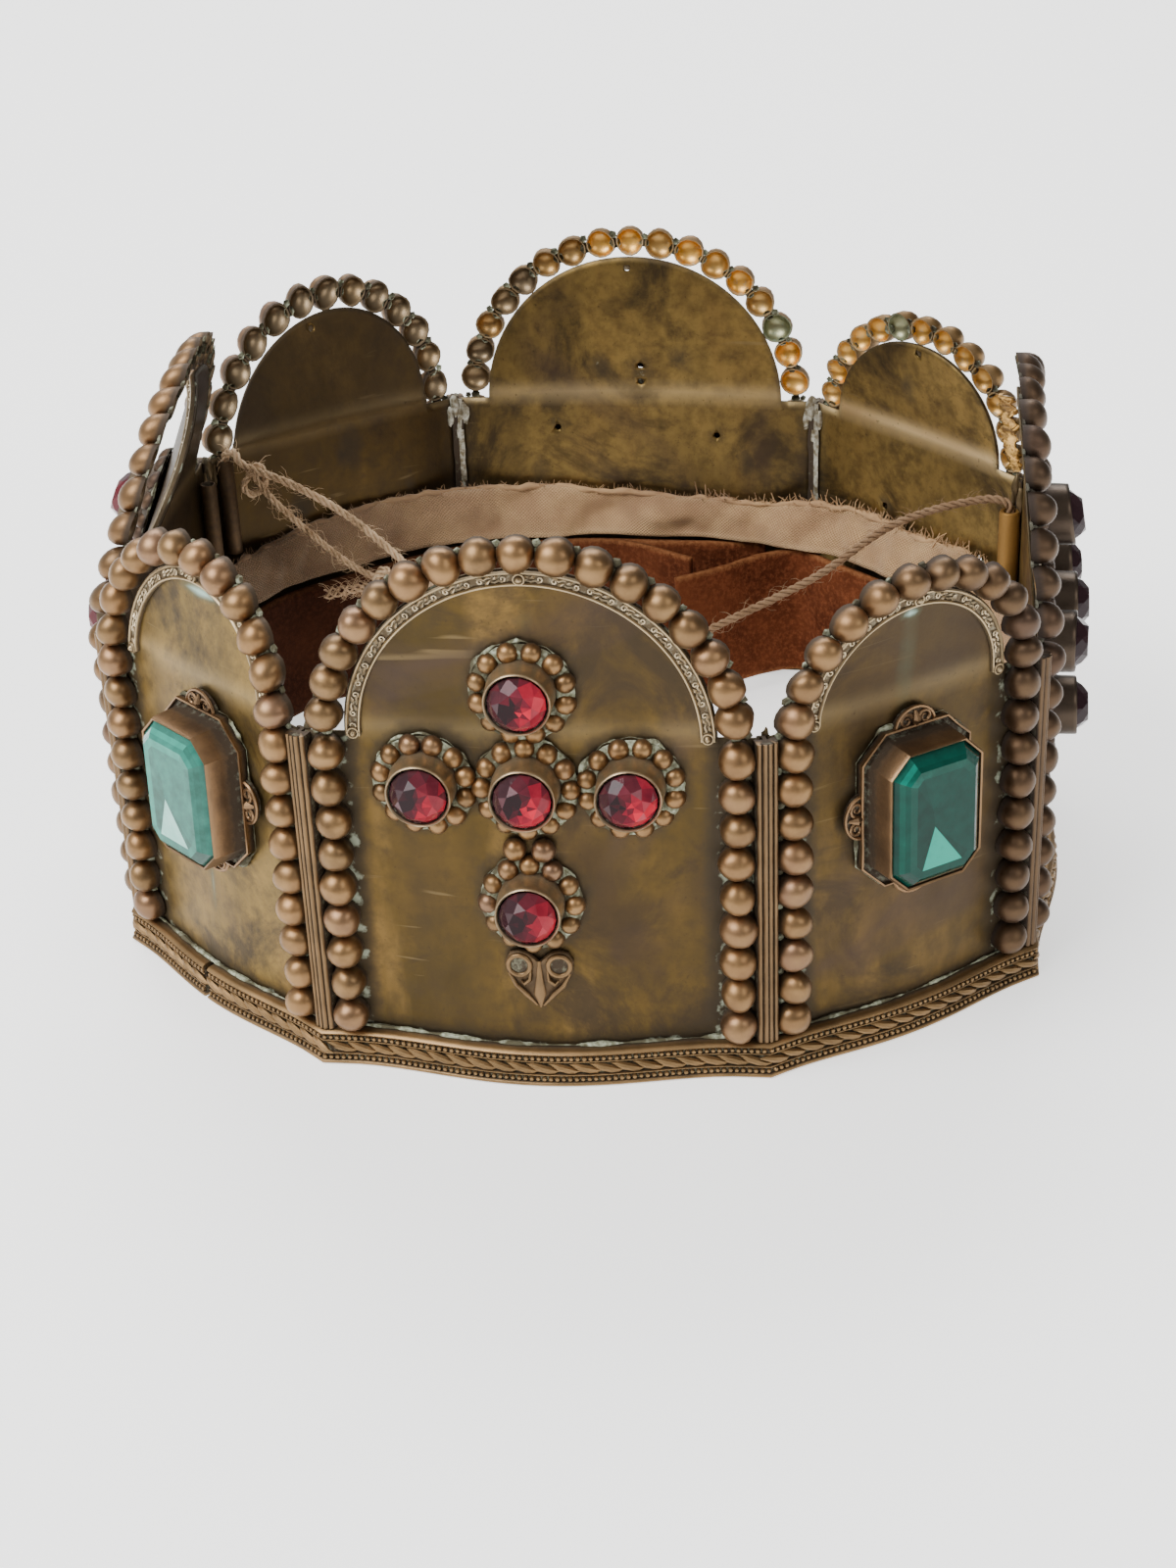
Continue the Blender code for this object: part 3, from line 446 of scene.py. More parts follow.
PANELS = [
    Panel("front", "front_left", "front_right", "wide", -0.06),
    Panel("front_right", "front_right", "right_front", "narrow", -0.12),
    Panel("right", "right_front", "right_back", "wide", 0.12),
    Panel("back_right", "right_back", "back_right", "narrow", 0.25, slide=-0.25),
    Panel("back", "back_right", "back_left", "wide", 0.0),
    Panel("back_left", "back_left", "left_back", "narrow", -0.40, slide=-0.28),
    Panel("left", "left_back", "left_front", "wide", 0.34, curl=1.0),
    Panel("front_left", "left_front", "front_left", "narrow", 0.12),
]
BY_NAME = {panel.name: panel for panel in PANELS}
print({panel.name: round(1000 * panel.width, 1) for panel in PANELS})

# %% [markdown]
# New pieces all go the same way: a bmesh is turned into an object, gets its finish, rides on
# the crown's one body and takes the place of the plain solids that it stands for.

# %% Making and seating pieces
def to_object(name, bm, material=None, smooth_angle=40):
    mesh = bpy.data.meshes.new(name)
    bm.to_mesh(mesh)
    bm.free()
    mesh.shade_smooth()
    mesh.set_sharp_from_angle(angle=math.radians(smooth_angle))
    if material:
        mesh.materials.append(material)
    thing = bpy.data.objects.new(name, mesh)
    bpy.context.scene.collection.objects.link(thing)
    return thing


def solid_object(name, bm, material=None, smooth_angle=40):
    """The same for a closed shape, with its faces turned outward first."""
    bmesh.ops.recalc_face_normals(bm, faces=bm.faces)
    return to_object(name, bm, material, smooth_angle)


def freeze(thing):
    """Turn a piece with modifiers into a plain mesh."""
    graph = bpy.context.evaluated_depsgraph_get()
    graph.update()
    mesh = bpy.data.meshes.new_from_object(thing.evaluated_get(graph), depsgraph=graph)
    thing.modifiers.clear()
    thing.data = mesh
    return thing


def seat(thing, slot, *stands_for):
    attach(thing, "root")
    if stands_for:
        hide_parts(*stands_for)
    return thing


def colour_all(thing, label, amount, panel=None):
    """Paint a number on a whole piece. On a panel it may grow from the left to the right."""
    least, most = amount if isinstance(amount, tuple) else (amount, amount)
    paint = thing.data.attributes.new(label, "FLOAT", "POINT")
    for entry, vertex in zip(paint.data, thing.data.vertices):
        share = 0.0
        if panel:
            share = (vertex.co.xy - panel.middle).dot(panel.along) / panel.width + 0.5
        entry.value = least + (most - least) * min(1.0, max(0.0, share))
    return thing


def join(name, things):
    """Several plain meshes as one piece. The first one's finish comes first."""
    base = things[0]
    base.name = name
    with bpy.context.temp_override(active_object=base, selected_editable_objects=things):
        bpy.ops.object.join()
    return base


def near(distance, reach):
    """1 at no distance, falling softly to 0 at the reach."""
    share = min(1.0, max(0.0, 1 - distance / reach))
    return share * share * (3 - 2 * share)


def layer(bm, label):
    """The painted number of this name. It is made where it is missing."""
    return bm.verts.layers.float.get(label) or bm.verts.layers.float.new(label)


def turned(across, height, radius, angle, rise=0.0):
    """A point on a circle about a place on the flat panel."""
    return (across + radius * math.cos(angle), -rise, height + radius * math.sin(angle))


def line_length(points):
    return sum((there - here).length for here, there in zip(points, points[1:]))


def skin(bm, grid, closed=False):
    """Faces between neighbouring lines of points."""
    pairs = list(zip(grid, grid[1:])) + ([(grid[-1], grid[0])] if closed else [])
    for first, second in pairs:
        for row in range(len(first) - 1):
            bm.faces.new((first[row], second[row], second[row + 1], first[row + 1]))


# %% [markdown]
# The crosses and the long stones stand on the sheets. Their places are needed early, because
# dirt gathers in a ring round each of them.

# %% Where the stones are
CROSS_CENTRE = 0.0786
CROSS_SHIFT = -0.0008
ARM_DROP = 0.0009
CROSS_PLACES = {
    "centre": (CROSS_SHIFT, CROSS_CENTRE - ARM_DROP),
    "top": (CROSS_SHIFT, CROSS_CENTRE + 0.0229),
    "left": (CROSS_SHIFT - 0.0236, CROSS_CENTRE - ARM_DROP),
    "right": (CROSS_SHIFT + 0.0236, CROSS_CENTRE - ARM_DROP),
    "bottom": (CROSS_SHIFT, CROSS_CENTRE - 0.0303),
}
GREEN_CENTRE = 0.0625
GREEN_HALF_WIDTH = 0.0122
GREEN_HALF_HEIGHT = 0.0168
GREEN_SHIFTS = {"front_right": (0.066, 0.0), "front_left": (0.287, 0.060)}
FEATURES = {}
for panel in PANELS:
    if panel.form == "wide":
        FEATURES[panel.name] = [(across, height, 0.0125) for across, height in CROSS_PLACES.values()]
    else:
        side, up = GREEN_SHIFTS.get(panel.name, (0.0, 0.0))
        FEATURES[panel.name] = [(side * GREEN_HALF_WIDTH, GREEN_CENTRE + up * GREEN_HALF_HEIGHT, 0.0190)]
print("settings:", {name: len(found) for name, found in FEATURES.items()})

# %% [markdown]
# Old brass is dark where hands and polish never reach: at the beads, the foot and the mounts.
# The photo also shows smudges and green runs in certain places, and back sheets that are darker
# than the front ones. Whole sheets are darkened partly by age and partly with painted shade.
# These functions give each kind of wear and painted shade at one place of a panel.

# %% Wear and painted shade of the sheets
# How far each sheet is darkened below and above its bend line, partly by age and partly as painted shade
AGES_AND_SHADE = {"back_left": (0.45, 0.85), "left": (0.75, 0.95), "back": (0.32, 0.15), "back_right": (0.15, 0.10),
        "front_right": (0.42, 0.88), "right": (0.35, 0.40), "front": (0.14, 0.08)}
# Dark places on the outside: across, height, reach, darkness
SMUDGES = {
    "front": ((0.014, 0.045, 0.014, 0.80), (0.010, 0.060, 0.009, 0.45), (-0.030, 0.072, 0.012, 0.35),
              (0.026, 0.034, 0.012, 0.60), (-0.024, 0.050, 0.016, 0.22), (0.020, 0.100, 0.016, 0.20)),
    "front_right": ((-0.012, 0.086, 0.010, 0.35), (0.014, 0.100, 0.010, 0.30), (0.009, 0.035, 0.006, 0.40)),
    "front_left": ((0.006, 0.089, 0.010, 0.35), (-0.010, 0.034, 0.006, 0.25)),
}
# Green stains on the outside: across, height, half width, half height, strength
STAINS = {
    "front_right": ((-0.0012, 0.0980, 0.0042, 0.0260, 0.34), (-0.0012, 0.1105, 0.0034, 0.0020, 0.90)),
    "front_left": ((0.0020, 0.1108, 0.0100, 0.0022, 0.95), (-0.0015, 0.0330, 0.0016, 0.0100, 0.60)),
    "front": ((0.0, 0.1175, 0.0050, 0.0060, 0.22),),
}


def age_and_shade_at(panel, across, height):
    below, above = AGES_AND_SHADE.get(panel.name, (0.0, 0.0))
    age = below + (above - below) * min(1.0, max(0.0, (height - LEAN_START) / 0.004 + 0.5))
    for side, level, reach, darkness in SMUDGES.get(panel.name, ()):
        ragged = 1 + 0.5 * noise.noise(Vector((across * 120, height * 120, reach * 90)))
        age += darkness * near(math.hypot(across - side, (height - level) * 0.75) * ragged, reach)
    return min(1.0, age)


def verdigris_at(panel, across, height):
    most = 0.0
    for side, level, half_width, half_height, strength in STAINS.get(panel.name, ()):
        off = math.hypot((across - side) / half_width, (height - level) / half_height)
        most = max(most, strength * near(off * 0.75, 1.0))
    return most


# Dark smudges on the inside: across, height, reach
INNER_SMUDGES = {
    "back": ((-0.002, 0.094, 0.011), (0.010, 0.099, 0.007), (-0.014, 0.101, 0.006), (0.0235, 0.079, 0.004),
             (-0.0245, 0.077, 0.004), (0.030, 0.064, 0.006), (-0.033, 0.070, 0.005)),
    "back_right": ((0.013, 0.064, 0.004), (-0.026, 0.060, 0.004), (0.004, 0.105, 0.006)),
    "back_left": ((-0.006, 0.081, 0.008), (0.012, 0.066, 0.006), (-0.024, 0.064, 0.003)),
}


def inner_dirt_and_shade(panel, across, height):
    """On the inside the arch edges have gathered dirt, the corners are darkened with painted shade, and
    smudges lie in places.
    """
    edge = 0.0
    if height > ARCH_CENTRE:
        edge = near(abs(bead_line_distance(panel, across, height) - BEAD_RADIUS), 0.0022)
    corner = near(panel.width / 2 - abs(across), 0.0100)
    smudge = 0.0
    for side, level, reach in INNER_SMUDGES.get(panel.name, ()):
        ragged = 1 + 0.7 * noise.noise(Vector((across * 190, height * 190, reach)))
        smudge = max(smudge, near(math.hypot(across - side, (height - level) * 0.7) * ragged, reach))
    return max(0.62 * edge, 0.70 * corner, 0.85 * smudge)


def bead_line_distance(panel, across, height):
    """Distance on the flat panel from the middle line of its bead border."""
    if height > ARCH_CENTRE:
        return abs(math.hypot(across, height - ARCH_CENTRE) - panel.bead_arch)
    return abs(abs(across) - panel.bead_arch)


def sheet_dirt(panel, across, height):
    """Dirt and bloom gather by the beads, by the foot strip and round each setting."""
    worst = near(bead_line_distance(panel, across, height) - 0.004, 0.0060)
    worst = max(worst, near(height - 0.0085, 0.0060))
    for side, level, radius in FEATURES[panel.name]:
        ragged = 0.0016 * noise.noise(Vector((across, height, radius)) * 260)
        far = math.hypot(across - side, height - level) - radius + ragged
        worst = max(worst, 0.70 * near(far + 0.0008, 0.0044))
    return worst


print("smudges:", {name: len(found) for name, found in SMUDGES.items()})

# %% [markdown]
# A sheet could be a flat cut-out with a Solidify modifier, but then it would stay dead flat
# and reflect like a mirror. Real thin brass is full of shallow dents, which is what breaks up
# its shine. So the sheet is a fine grid, pushed in and out by smooth noise, and its columns
# crowd towards the ends of the arch to keep the curve clean.

# %% Sheets
ARCH_COLUMNS = 64
LOWER_ROWS = 30
UPPER_ROWS = 20
SHOULDER_COLUMNS = 4
FOOT_GAP = 0.0004
POST_GAP = 0.0012
DENT_DEPTH = 0.00028
DENT_SIZE = 34.0
BIG_DENT_DEPTH = 0.00045
BIG_DENT_SIZE = 11.0
BEND_HALF_WIDTH = 0.0026
# How strong the painted highlight is along the bend line of each sheet
BEND_HIGHLIGHTS = {"back_right": 1.0, "back": 0.3, "back_left": 0.1, "front": 0.08, "front_right": 0.08,
             "front_left": 0.15}
# Sheets that have kept some of their gilding, inside and outside. On the insides the lift is also painted
# light
INNER_GILT_AND_LIGHT = {"back_right": 0.85, "back": 0.50, "right": 0.50}
OUTER_GILT = {"front_left": 0.30}


def sheet_top(panel, across):
    reach = panel.sheet_arch ** 2 - across ** 2
    return max(SHOULDER, ARCH_CENTRE + math.sqrt(reach)) if reach > 0 else SHOULDER


def make_sheet(panel):
    arch = [-panel.sheet_arch * math.cos(math.pi * step / ARCH_COLUMNS) for step in range(ARCH_COLUMNS + 1)]
    end = panel.width / 2 - POST_GAP
    gap = end - panel.sheet_arch
    left = [-end + gap * step / SHOULDER_COLUMNS for step in range(SHOULDER_COLUMNS)]
    columns = left + arch + [-across for across in reversed(left)]
    bm = bmesh.new()
    wear = [layer(bm, label) for label in ("dirt", "rub", "age", "inner", "verdigris")]
    seed = Vector((7.3 * len(panel.name), 3.1 * panel.width * 100, 0))
    grid = []
    for across in columns:
        top = sheet_top(panel, across)
        lower = [FOOT_GAP + (SHOULDER - FOOT_GAP) * row / LOWER_ROWS for row in range(LOWER_ROWS + 1)]
        upper = [SHOULDER + (top - SHOULDER) * row / UPPER_ROWS for row in range(1, UPPER_ROWS + 1)]
        line = []
        for height in lower + upper:
            spot = Vector((across, height, 0))
            dent = DENT_DEPTH * noise.noise(spot * DENT_SIZE + seed)
            dent += BIG_DENT_DEPTH * noise.noise(spot * BIG_DENT_SIZE + seed)
            hold = 1 - near(bead_line_distance(panel, across, height), 0.012)
            for side, level, radius in FEATURES[panel.name]:
                hold *= 1 - near(math.hypot(across - side, height - level), radius * 1.3)
            out = -panel.curled(across, height) + dent * hold * near(0.004 - height, 0.004)
            vertex = bm.verts.new(panel.place(across, height, out))
            # Painted numbers: dirt, a painted highlight on the bend line, darkening that is partly age and
            # partly painted shade, inner dirt with painted shade in the corners, and verdigris
            bend = math.exp(-((height - LEAN_START) / BEND_HALF_WIDTH) ** 2)
            amounts = (sheet_dirt(panel, across, height), BEND_HIGHLIGHTS.get(panel.name, 0.2) * bend,
                       age_and_shade_at(panel, across, height), inner_dirt_and_shade(panel, across, height),
                       verdigris_at(panel, across, height))
            for kind, amount in zip(wear, amounts):
                vertex[kind] = amount
            line.append(vertex)
        grid.append(line)
    skin(bm, grid)
    bmesh.ops.remove_doubles(bm, verts=bm.verts, dist=1e-6)
    sheet = to_object(f"sheet_{panel.name}", bm, sheet_brass)
    wall = sheet.modifiers.new("wall", "SOLIDIFY")
    wall.thickness = SHEET
    wall.offset = -1.0
    count = len(sheet.data.vertices)
    freeze(sheet)
    below, above = AGES_AND_SHADE.get(panel.name, (0.0, 0.0))
    names = ("dirt", "inner", "verdigris", "age")
    dirts, inners, greens, age_and_shade_values = (sheet.data.attributes[name].data for name in names)
    # The inside faces take the inner dirt with its painted shade, no verdigris, and the darkening of age
    # and painted shade of their side of the bend line
    for index in range(count, len(sheet.data.vertices)):
        dirts[index].value = inners[index].value
        greens[index].value = 0.0
        age_and_shade_values[index].value = above if sheet.data.vertices[index].co.z > LEAN_START else below
    # Gilding outside, and gilding with painted light inside
    bright = sheet.data.attributes.new("gilt", "FLOAT", "POINT")
    for index, entry in enumerate(bright.data):
        entry.value = (OUTER_GILT if index < count else INNER_GILT_AND_LIGHT).get(panel.name, 0.0)
    return sheet


sheets = {panel.name: make_sheet(panel) for panel in PANELS}
print("sheet points:", {name: len(sheet.data.vertices) for name, sheet in sheets.items()})

# %% [markdown]
# The back panels were once pinned through, and the pins have gone: the photo shows daylight
# in small punched holes. A Boolean with a short round bar for each hole cuts them truly.

# %% Pin holes
HOLE_RADIUS = 0.00095
HOLE_SIDES = 10
HOLE_REACH = 0.004
PIN_HOLES = {
    "back": ((0.0010, 0.1285), (-0.0020, 0.0985), (-0.0020, 0.0935), (0.0235, 0.0790), (-0.0245, 0.0770)),
    "back_right": ((0.0000, 0.1170), (0.0130, 0.0640), (-0.0260, 0.0600)),
    "back_left": ((0.0060, 0.1160),),
}
for name, holes in PIN_HOLES.items():
    panel = BY_NAME[name]
    bm = bmesh.new()
    facing = Vector((panel.outward.x, panel.outward.y, 0)).to_track_quat("Z", "Y").to_matrix().to_4x4()
    for across, height in holes:
        spot = Matrix.Translation(panel.place(across, height, 0))
        bmesh.ops.create_cone(bm, cap_ends=True, segments=HOLE_SIDES, radius1=HOLE_RADIUS,
                              radius2=HOLE_RADIUS, depth=2 * HOLE_REACH, matrix=spot @ facing)
    punch = to_object(f"punch_{name}", bm)
    cut = sheets[name].modifiers.new("holes", "BOOLEAN")
    cut.operation = "DIFFERENCE"
    cut.solver = "EXACT"
    cut.object = punch
    freeze(sheets[name])
    bpy.data.objects.remove(punch)
print("holes:", sum(len(holes) for holes in PIN_HOLES.values()))

# %% [markdown]
# A stamped moulding follows each arch: two raised rails with a row of small scrolls between.
# The rails are one section swept round the arch. The scrolls repeat, which is a job for
# Geometry Nodes: one tree puts a pattern on every point of a mesh, turned and sized by the
# points' own numbers, with a little chance so that it looks struck by hand. The same tree
# makes the beads, the rope of the foot strip, the rivets and the frayed threads.

# %% The repeating tree
def entry(sockets, label):
    """The socket of this name that is in use for the node's data type."""
    return next(socket for socket in sockets if socket.name == label and socket.enabled)


def make_repeat_tree():
    tree = bpy.data.node_groups.new("repeat_on_places", "GeometryNodeTree")
    inputs = (("Places", "Geometry"), ("Pattern", "Object"), ("Finish", "Material"),
              ("Size Jitter", "Float"), ("Turn Jitter", "Float"), ("Seed", "Int"))
    for label, kind in inputs:
        tree.interface.new_socket(label, in_out="INPUT", socket_type=f"NodeSocket{kind}")
    tree.interface.new_socket("Result", in_out="OUTPUT", socket_type="NodeSocketGeometry")
    link = tree.links.new

    def new(kind, **settings):
        node = tree.nodes.new(kind)
        for label, value in settings.items():
            setattr(node, label, value)
        return node

    start, end = new("NodeGroupInput").outputs, new("NodeGroupOutput")

    def named(label, kind):
        node = new("GeometryNodeInputNamedAttribute", data_type=kind)
        node.inputs["Name"].default_value = label
        return entry(node.outputs, "Attribute")

    def chance(kind, spread, centre):
        low = new("ShaderNodeMath", operation="SUBTRACT")
        high = new("ShaderNodeMath")
        for node in (low, high):
            node.inputs[0].default_value = centre
            link(spread, node.inputs[1])
        node = new("FunctionNodeRandomValue", data_type=kind)
        link(low.outputs[0], entry(node.inputs, "Min"))
        link(high.outputs[0], entry(node.inputs, "Max"))
        link(start["Seed"], entry(node.inputs, "Seed"))
        return entry(node.outputs, "Value")

    turn = new("ShaderNodeVectorMath")
    link(named("turn", "FLOAT_VECTOR"), turn.inputs[0])
    link(chance("FLOAT_VECTOR", start["Turn Jitter"], 0.0), turn.inputs[1])
    rotation = new("FunctionNodeEulerToRotation")
    link(turn.outputs[0], rotation.inputs[0])
    size = new("ShaderNodeMath", operation="MULTIPLY")
    link(named("size", "FLOAT"), size.inputs[0])
    link(chance("FLOAT", start["Size Jitter"], 1.0), size.inputs[1])
    pattern = new("GeometryNodeObjectInfo")
    link(start["Pattern"], pattern.inputs["Object"])
    instances = new("GeometryNodeInstanceOnPoints")
    link(start["Places"], instances.inputs["Points"])
    link(pattern.outputs["Geometry"], instances.inputs["Instance"])
    link(rotation.outputs[0], instances.inputs["Rotation"])
    link(size.outputs[0], instances.inputs["Scale"])
    tone = new("GeometryNodeStoreNamedAttribute", data_type="FLOAT", domain="INSTANCE")
    tone.inputs["Name"].default_value = "tone"
    random_tone = new("FunctionNodeRandomValue", data_type="FLOAT")
    link(start["Seed"], entry(random_tone.inputs, "Seed"))
    link(entry(random_tone.outputs, "Value"), entry(tone.inputs, "Value"))
    link(instances.outputs[0], tone.inputs["Geometry"])
    realized = new("GeometryNodeRealizeInstances")
    link(tone.outputs[0], realized.inputs[0])
    finish = new("GeometryNodeSetMaterial")
    link(realized.outputs[0], finish.inputs["Geometry"])
    link(start["Finish"], finish.inputs["Material"])
    link(finish.outputs[0], end.inputs["Result"])
    return tree


REPEAT = make_repeat_tree()
SOCKETS = {item.name: item.identifier for item in REPEAT.interface.items_tree if item.in_out == "INPUT"}


def repeat(name, places, pattern, material, size_jitter=0.0, turn_jitter=0.0, seed=1):
    """Put the pattern on each place. A place is a point, a turn about X, Y and Z, and a size."""
    mesh = bpy.data.meshes.new(name)
    mesh.from_pydata([point for point, _, _ in places], [], [])
    mesh.attributes.new("turn", "FLOAT_VECTOR", "POINT")
    mesh.attributes.new("size", "FLOAT", "POINT")
    for index, (_, turn, size) in enumerate(places):
        mesh.attributes["turn"].data[index].vector = turn
        mesh.attributes["size"].data[index].value = size
    thing = bpy.data.objects.new(name, mesh)
    bpy.context.scene.collection.objects.link(thing)
    modifier = thing.modifiers.new("repeat", "NODES")
    modifier.node_group = REPEAT
    values = {"Pattern": pattern, "Finish": material, "Size Jitter": size_jitter,
              "Turn Jitter": turn_jitter, "Seed": seed}
    for label, value in values.items():
        modifier[SOCKETS[label]] = value
    return freeze(thing)


print("tree inputs:", SOCKETS)

# %% [markdown]
# Most small patterns are turned shapes: beads, cups, rivets. Each is a profile spun round an
# axis that points out of the panel. A profile row holds a radius, a rise, and how much relief
# and dirt its ring carries, so the finish follows the shape.

# %% Turned patterns
def spin_profile(bm, profile, sides, across=0.0, height=0.0, scallop=0.0, lobes=12):
    """Spin rows of radius, rise, relief and dirt. A radius of 0 closes the shape at its pole."""
    kinds = [layer(bm, label) for label in ("relief", "dirt", "inside")]
    rings = []
    for radius, rise, relief, dirt, *inside in profile:
        ring = []
        for index in range(sides if radius > 0 else 1):
            angle = 2 * math.pi * index / sides
            grown = radius * (1 + scallop * math.cos(lobes * angle))
            vertex = bm.verts.new(turned(across, height, grown, angle, rise))
            for kind, value in zip(kinds, (relief, dirt, sum(inside))):
                vertex[kind] = value
            ring.append(vertex)
        rings.append(ring)
    for first, second in zip(rings, rings[1:]):
        for index in range(sides):
            after = (index + 1) % sides
            corners = [first[index % len(first)], first[after % len(first)],
                       second[after % len(second)], second[index % len(second)]]
            corners = list(dict.fromkeys(corners))
            if len(corners) > 2:
                bm.faces.new(corners)
    return rings


def pattern_object(name, build, angle=40):
    """A pattern for the repeating tree. It stays out of the render."""
    bm = bmesh.new()
    build(bm)
    thing = solid_object(name, bm, smooth_angle=angle)
    thing.hide_render = True
    return thing


print("turned patterns ready")

# %% [markdown]
# Swept and drawn shapes cover almost everything else. A sweep joins rings of points into a
# skin, and a wire is a round section that follows a path with its own thickness at each point.

# %% Sweeps and wires
def sweep(bm, rings, values=(), rows=(), closed=False, caps=True):
    """Skin rings of points. Relief and dirt are given for each point of a ring, or each ring."""
    relief, dirt = layer(bm, "relief"), layer(bm, "dirt")
    made = [[bm.verts.new(point) for point in ring] for ring in rings]
    for number, ring in enumerate(made):
        for vertex, (high, low) in zip(ring, [rows[number]] * len(ring) if rows else values):
            vertex[relief] = high
            vertex[dirt] = low
    count = len(made[0])
    pairs = list(zip(made, made[1:])) + ([(made[-1], made[0])] if closed else [])
    for first, second in pairs:
        for index in range(count):
            after = (index + 1) % count
            bm.faces.new((first[index], first[after], second[after], second[index]))
    if caps and not closed:
        bm.faces.new(list(reversed(made[0])))
        bm.faces.new(made[-1])


def wire(bm, points, radii, sides=6, relief=0.8, dirt=0.2, flat=1.0, closed=False):
    """A round wire through the points. Where it is flat, it is that much lower outward."""
    points = [Vector(point) for point in points]
    rings = []
    side = None
    last = len(points) - 1
    for index, point in enumerate(points):
        ahead = points[(index + 1) % len(points)] if closed else points[min(index + 1, last)]
        behind = points[index - 1] if closed or index else points[0]
        way = (ahead - behind).normalized()
        if side is None:
            side = way.orthogonal().normalized()
        side = (side - way * side.dot(way)).normalized()
        other = way.cross(side)
        radius = radii[index] if isinstance(radii, (list, tuple)) else radii
        ring = []
        for step in range(sides):
            angle = 2 * math.pi * step / sides
            offset = (side * math.cos(angle) + other * math.sin(angle)) * radius
            offset.y *= flat
            ring.append(point + offset)
        rings.append(ring)
    sweep(bm, rings, [(relief, dirt)] * sides, closed=closed)


def spiral(centre, start_radius, end_radius, start, turns, steps):
    """Points of a flat spiral on the panel, in X and Z, about a centre."""
    points = []
    for step in range(steps + 1):
        share = step / steps
        angle = start + 2 * math.pi * turns * share
        radius = start_radius + (end_radius - start_radius) * share
        points.append(turned(centre[0], centre[2], radius, angle, -centre[1]))
    return points


print("spiral of", len(spiral((0, 0, 0), 0.001, 0.0003, 0, 1.25, 8)), "points")

# %% [markdown]
# The moulding is one rolled strip, bent on edge round each arch: two rails with a sunk field
# between them. In the field lies a running scroll, curl after curl, with a leaf and a pearl in
# each. Crust from the soldering has settled in the field, so it is painted as dirt.

# %% Mouldings
MOULDING_WIDTH = 0.0036
MOULDING_EDGE = 0.0003
MOULDING_STEPS = 96
# Rows of: share of the width from the outer edge, rise, relief, dirt
MOULDING_SECTION = (
    (0.00, -0.00035, 0.0, 0.9), (0.00, 0.00060, 0.4, 0.5), (0.06, 0.00100, 1.0, 0.0),
    (0.15, 0.00105, 1.0, 0.0), (0.23, 0.00070, 0.5, 0.5), (0.27, 0.00025, 0.0, 1.0),
    (0.50, 0.00035, 0.1, 0.9), (0.73, 0.00025, 0.0, 1.0), (0.77, 0.00070, 0.5, 0.5),
    (0.85, 0.00105, 1.0, 0.0), (0.94, 0.00100, 1.0, 0.0), (1.00, 0.00060, 0.4, 0.5),
    (1.00, -0.00035, 0.0, 0.9),
)
SCROLL_PITCH = 0.0040


def scroll_pattern(bm):
    curl = spiral((0.0004, -0.00055, 0), 0.00082, 0.00020, math.radians(200), 1.15, 8)
    tail = [(-0.0021, -0.0005, -0.00050), (-0.0014, -0.0005, -0.00068)]
    radii = [0.00016, 0.00026] + [0.00029 - 0.00001 * step for step in range(9)]
    wire(bm, tail + curl, radii, sides=5, relief=0.9, dirt=0.25)
    leaf = [(-0.0017, -0.0005, 0.0001), (-0.0010, -0.00065, 0.00050), (-0.0004, -0.0005, 0.00085)]
    wire(bm, leaf, [0.00010, 0.00042, 0.00008], sides=5, relief=1.0, dirt=0.2)


def rivet_pattern(bm):
    spin_profile(bm, (
        (0.00150, -0.0002, 0.1, 0.9), (0.00150, 0.0009, 0.5, 0.6), (0.00135, 0.0013, 0.9, 0.1),
        (0.00105, 0.0013, 0.6, 0.4), (0.00092, 0.0010, 0.1, 1.0), (0.00080, 0.0015, 0.7, 0.3),
        (0.00045, 0.0020, 1.0, 0.0), (0, 0.0022, 1.0, 0.0),
    ), 12)


scroll = pattern_object("scroll_pattern", scroll_pattern)
rivet = pattern_object("rivet_pattern", rivet_pattern)


def arch_point(radius, angle, rise=0.0):
    """A point of a half circle round the arch's centre, starting at its left foot."""
    return (-radius * math.cos(angle), -rise, ARCH_CENTRE + radius * math.sin(angle))


def make_moulding(panel, seed):
    outer = panel.sheet_arch - MOULDING_EDGE
    middle = outer - MOULDING_WIDTH / 2
    bm = bmesh.new()
    rings = []
    for step in range(MOULDING_STEPS + 1):
        angle = math.pi * step / MOULDING_STEPS
        rings.append([arch_point(outer - share * MOULDING_WIDTH, angle, rise)
                      for share, rise, _, _ in MOULDING_SECTION])
    sweep(bm, rings, [row[2:] for row in MOULDING_SECTION])
    strip = solid_object(f"moulding_{panel.name}", bm, moulding_brass)
    count = round(math.pi * middle / SCROLL_PITCH)
    places = []
    for index in range(count):
        angle = math.pi * (index + 0.5) / count
        flip = math.pi if index % 2 else 0.0
        places.append((arch_point(middle, angle), (0, angle - math.pi / 2 + flip, 0), 1.0))
    scrolls = repeat("scrolls", places, scroll, scroll_brass, 0.06, 0.08, seed)
    pins = [(arch_point(middle, angle), (0, angle, 0), 1.0)
            for angle in (0.02, math.pi / 2, math.pi - 0.02)]
    rivets = repeat("rivets", pins, rivet, moulding_brass, 0.03, 0.0, seed)
    whole = join(f"moulding_{panel.name}", [strip, scrolls, rivets])
    for vertex in whole.data.vertices:
        inward = panel.curled(vertex.co.x, vertex.co.z)
        vertex.co = panel.place(vertex.co.x, vertex.co.z, -vertex.co.y - inward)
    return whole


mouldings = [make_moulding(panel, 10 + number) for number, panel in enumerate(PANELS)]
for panel, moulding in zip(PANELS, mouldings):
    seat(sheets[panel.name], "tarnished_brass", f"panel_{panel.name}")
    seat(moulding, "tarnished_brass", f"panel_{panel.name}")
print("moulding points:", [len(thing.data.vertices) for thing in mouldings])

# %% [markdown]
# Everything is held with soft solder. On the bare metal it is a dull grey run, and the acid
# flux left with it has grown a pale green crust. These are the two finishes for them.

